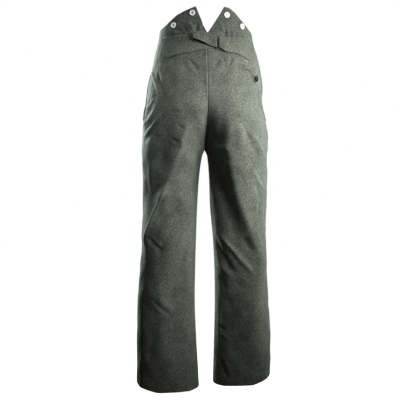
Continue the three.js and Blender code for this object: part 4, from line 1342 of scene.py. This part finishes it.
def insetLine(line, inset):
    # line of (round, level) moved sideways by some millimetres, its corners rounded
    ring = garment["ringLength"]
    flat = np.array(line, float) * (ring, 1)
    run = np.concatenate([[0], np.cumsum(np.hypot(*np.diff(flat, axis=0).T))])
    at = np.arange(0, run[-1], 1.0)
    path = np.stack([np.interp(at, run, flat[:, 0]), np.interp(at, run, flat[:, 1])], axis=1)
    soft = path.copy()
    for _ in range(8):
        soft[1:-1] = (soft[:-2] + 2 * soft[1:-1] + soft[2:]) / 4
    along = np.gradient(soft, axis=0)
    along /= np.hypot(along[:, 0], along[:, 1])[:, None]
    moved = soft + np.stack([-along[:, 1], along[:, 0]], axis=1) * inset
    return moved[:, 0] / ring, moved[:, 1]


def sewn(name, parts, material):
    points, faces = joined(parts)
    fitted(meshPiece(name, points * mm, faces), material, "wool")
    print("made", name, "with", len(faces), "faces")


def tack(side, around, z, lift, lean=0, length=stitchForm["tackLength"]):
    return wrapped(side, around, z, lift, lean, length, stitchForm["wrapWidth"])


def edgeSewing():
    # rows along the top edge and around the hems
    top, hems = [], []
    for side in ("L", "R"):
        around = np.linspace(0.004, 0.996, 420)
        edge = rowHeight(side, around, np.full_like(around, garment["topLevel"]))
        slope = np.gradient(edge, around * garment["ringLength"])
        z = edge - panelForm["stitchInset"] * np.sqrt(1 + np.minimum(slope ** 2, 9))
        top += clothRow(side, around, z, -panelForm["stitchDip"])
        hem = rowHeight(side, around, np.full_like(around, garment["hemLevel"])) + panelForm["hemInset"]
        hems += stitchRow(clothPoint(side, around, hem, -panelForm["hemDip"]), outward(side, around, hem),
                          stitchForm["hemLength"], stitchForm["hemPitch"] - stitchForm["hemLength"])
    return top, hems


def pocketSewing():
    # rows and tacks on the welts, then rows, tacks and buttonhole on the flap
    parts = []
    raised = lay["gap"] + weltForm["thickness"] - 0.25
    for name, node, side, high, low, restsOn in welts:
        t = np.linspace(0.03, 0.97, 120)
        for s in (0.24, 0.76):
            parts += clothRow(side, high + (low - high) * t + s * weltForm["width"], weltLevel(t), raised)
        for t in (0.035, 0.965):
            around = high + (low - high) * t + weltForm["width"] / 2
            parts += tack(side, around, weltLevel(t), raised + 0.1)
    raised = lay["gap"] + flapForm["underGap"] + flapForm["thickness"] - 0.2
    first, last = flapEdge[0][0], flapEdge[0][-1]
    around, z = insetLine(flapOutline(), stitchForm["inset"])
    parts += clothRow("R", around, z, raised)
    for around in (first + 0.008, last - 0.008):
        parts += tack("R", around, flapForm["top"] - 2.2, raised, length=8)
    return parts + buttonhole("R", flapForm["buttonRound"], flapForm["buttonLevel"], raised, 90)


def flySewing():
    # a row along the placket's curve, a tack at its foot and the waist buttonhole
    level = np.linspace(28, -157, 150)
    wide = np.interp(-level, -np.array(flyEdge[0], float), flyEdge[1]) - stitchForm["inset"]
    raised = lay["gap"] + flyForm["thickness"] - 0.2
    parts = clothRow("L", 1 - roundAt("L", wide, level), level, raised)
    return parts + tack("L", 0.975, -146, raised, 60) + buttonhole("L", 0.96, 15, raised, 0)


topRows, hemRows = edgeSewing()
sewn("topEdgeStitching", topRows, seamThread)
sewn("hemStitching", hemRows, seamThread)
sewn("cinchStrapStitching", strapSewing(strapPath, (100, 128)), seamThread)
sewn("cinchTabStitching", strapSewing(tabPath, (-57, -137)), seamThread)
sewn("pocketStitching", pocketSewing(), seamThread)
sewn("flyStitching", flySewing(), seamThread)


# stage: pale floor and backdrop, keys on the wearer's right, weak fill, light along both sides

stageSet = {
    "floorLevel": -1.0635, "floorColour": 0.9, "floorGlow": 1.0, "floorSize": 9.0, "floorRough": 0.9,
    "worldSeen": 1.0, "worldLight": 0.02,
}
lights = (  # place in metres, aimed at, size, watts, spread in degrees, colour
    ("sideKey", (-1.0, 0.68, 0.07), (0.014, 0.0, -0.37), 0.5, 3.45, 68, (1, 1, 0.97)),
    ("grazingKey", (-1.33, 0.28, -0.09), (0.014, 0.0, -0.38), 0.5, 1.7, 70, (1, 1, 0.97)),
    ("seatKey", (-0.62, 1.01, 0.29), (0.014, 0.0, -0.24), 0.4, 2, 62, (1, 1, 0.98)),
    ("frontLight", (0.3, 1.79, 0.55), (0.0, 0.0, -0.3), 0.7, 1, 90, (1, 0.99, 0.96)),
    ("topLight", (0.02, 0.14, 1.49), (0.0, 0.0, -0.1), 0.5, 0.6, 180, (1, 1, 1)),
    ("leftSideLight", (1.8, -0.12, 0.55), (0.0, 0.0, -0.14), 0.5, 0.75, 28, (0.9, 1.0, 0.95)),
    ("leftBackLight", (1.18, -1.39, 0.28), (0.0, 0.0, -0.2), 0.7, 13, 60, (0.9, 1.0, 0.95)),
    ("rightBackLight", (-1.68, -0.55, -0.05), (0.0, 0.0, -0.35), 0.7, 6.5, 100, (0.9, 1.0, 0.95)),
)


def makeStage():
    size = stageSet["floorSize"]
    corners = np.array([(-size, -size, 0), (size, -size, 0), (size, size, 0), (-size, size, 0)], float)
    floor = meshPiece("floor", corners + (0, 0, stageSet["floorLevel"]), np.array([[0, 1, 2, 3]]))
    sheet = NodeSheet("pale floor")
    grain = sheet.noise(3, 3, 0.5)
    pale = stageSet["floorColour"]
    tone = sheet.blend(grain, (pale, pale, pale, 1), (pale * 0.97, pale * 0.97, pale * 0.97, 1))
    sheet.join(tone, sheet.shader.inputs["Base Color"])
    sheet.shader.inputs["Roughness"].default_value = stageSet["floorRough"]
    sheet.shader.inputs["Emission Color"].default_value = (1, 1, 1, 1)
    sheet.shader.inputs["Emission Strength"].default_value = stageSet["floorGlow"]
    floor.data.materials.append(sheet.material)
    floor.visible_diffuse = False
    floor.visible_glossy = False
    world = bpy.data.worlds.new("studio")
    world.use_nodes = True
    nodes, links = world.node_tree.nodes, world.node_tree.links
    back = nodes["Background"]
    back.inputs["Color"].default_value = (1, 1, 1, 1)
    path = nodes.new("ShaderNodeLightPath")
    seen = nodes.new("ShaderNodeMapRange")
    links.new(path.outputs["Is Camera Ray"], seen.inputs["Value"])
    seen.inputs["To Min"].default_value = stageSet["worldLight"]
    seen.inputs["To Max"].default_value = stageSet["worldSeen"]
    links.new(seen.outputs["Result"], back.inputs["Strength"])
    bpy.context.scene.world = world


def makeLights():
    for name, place, target, size, watts, spread, colour in lights:
        data = bpy.data.lights.new(name, "AREA")
        data.shape = "DISK"
        data.size = size
        data.energy = watts
        data.spread = math.radians(spread)
        data.color = colour
        light = inScene(name, data)
        light.location = place
        light.rotation_euler = (Vector(target) - Vector(place)).to_track_quat("-Z", "Y").to_euler()


makeStage()
makeLights()
bpy.context.scene.view_settings.view_transform = "Standard"
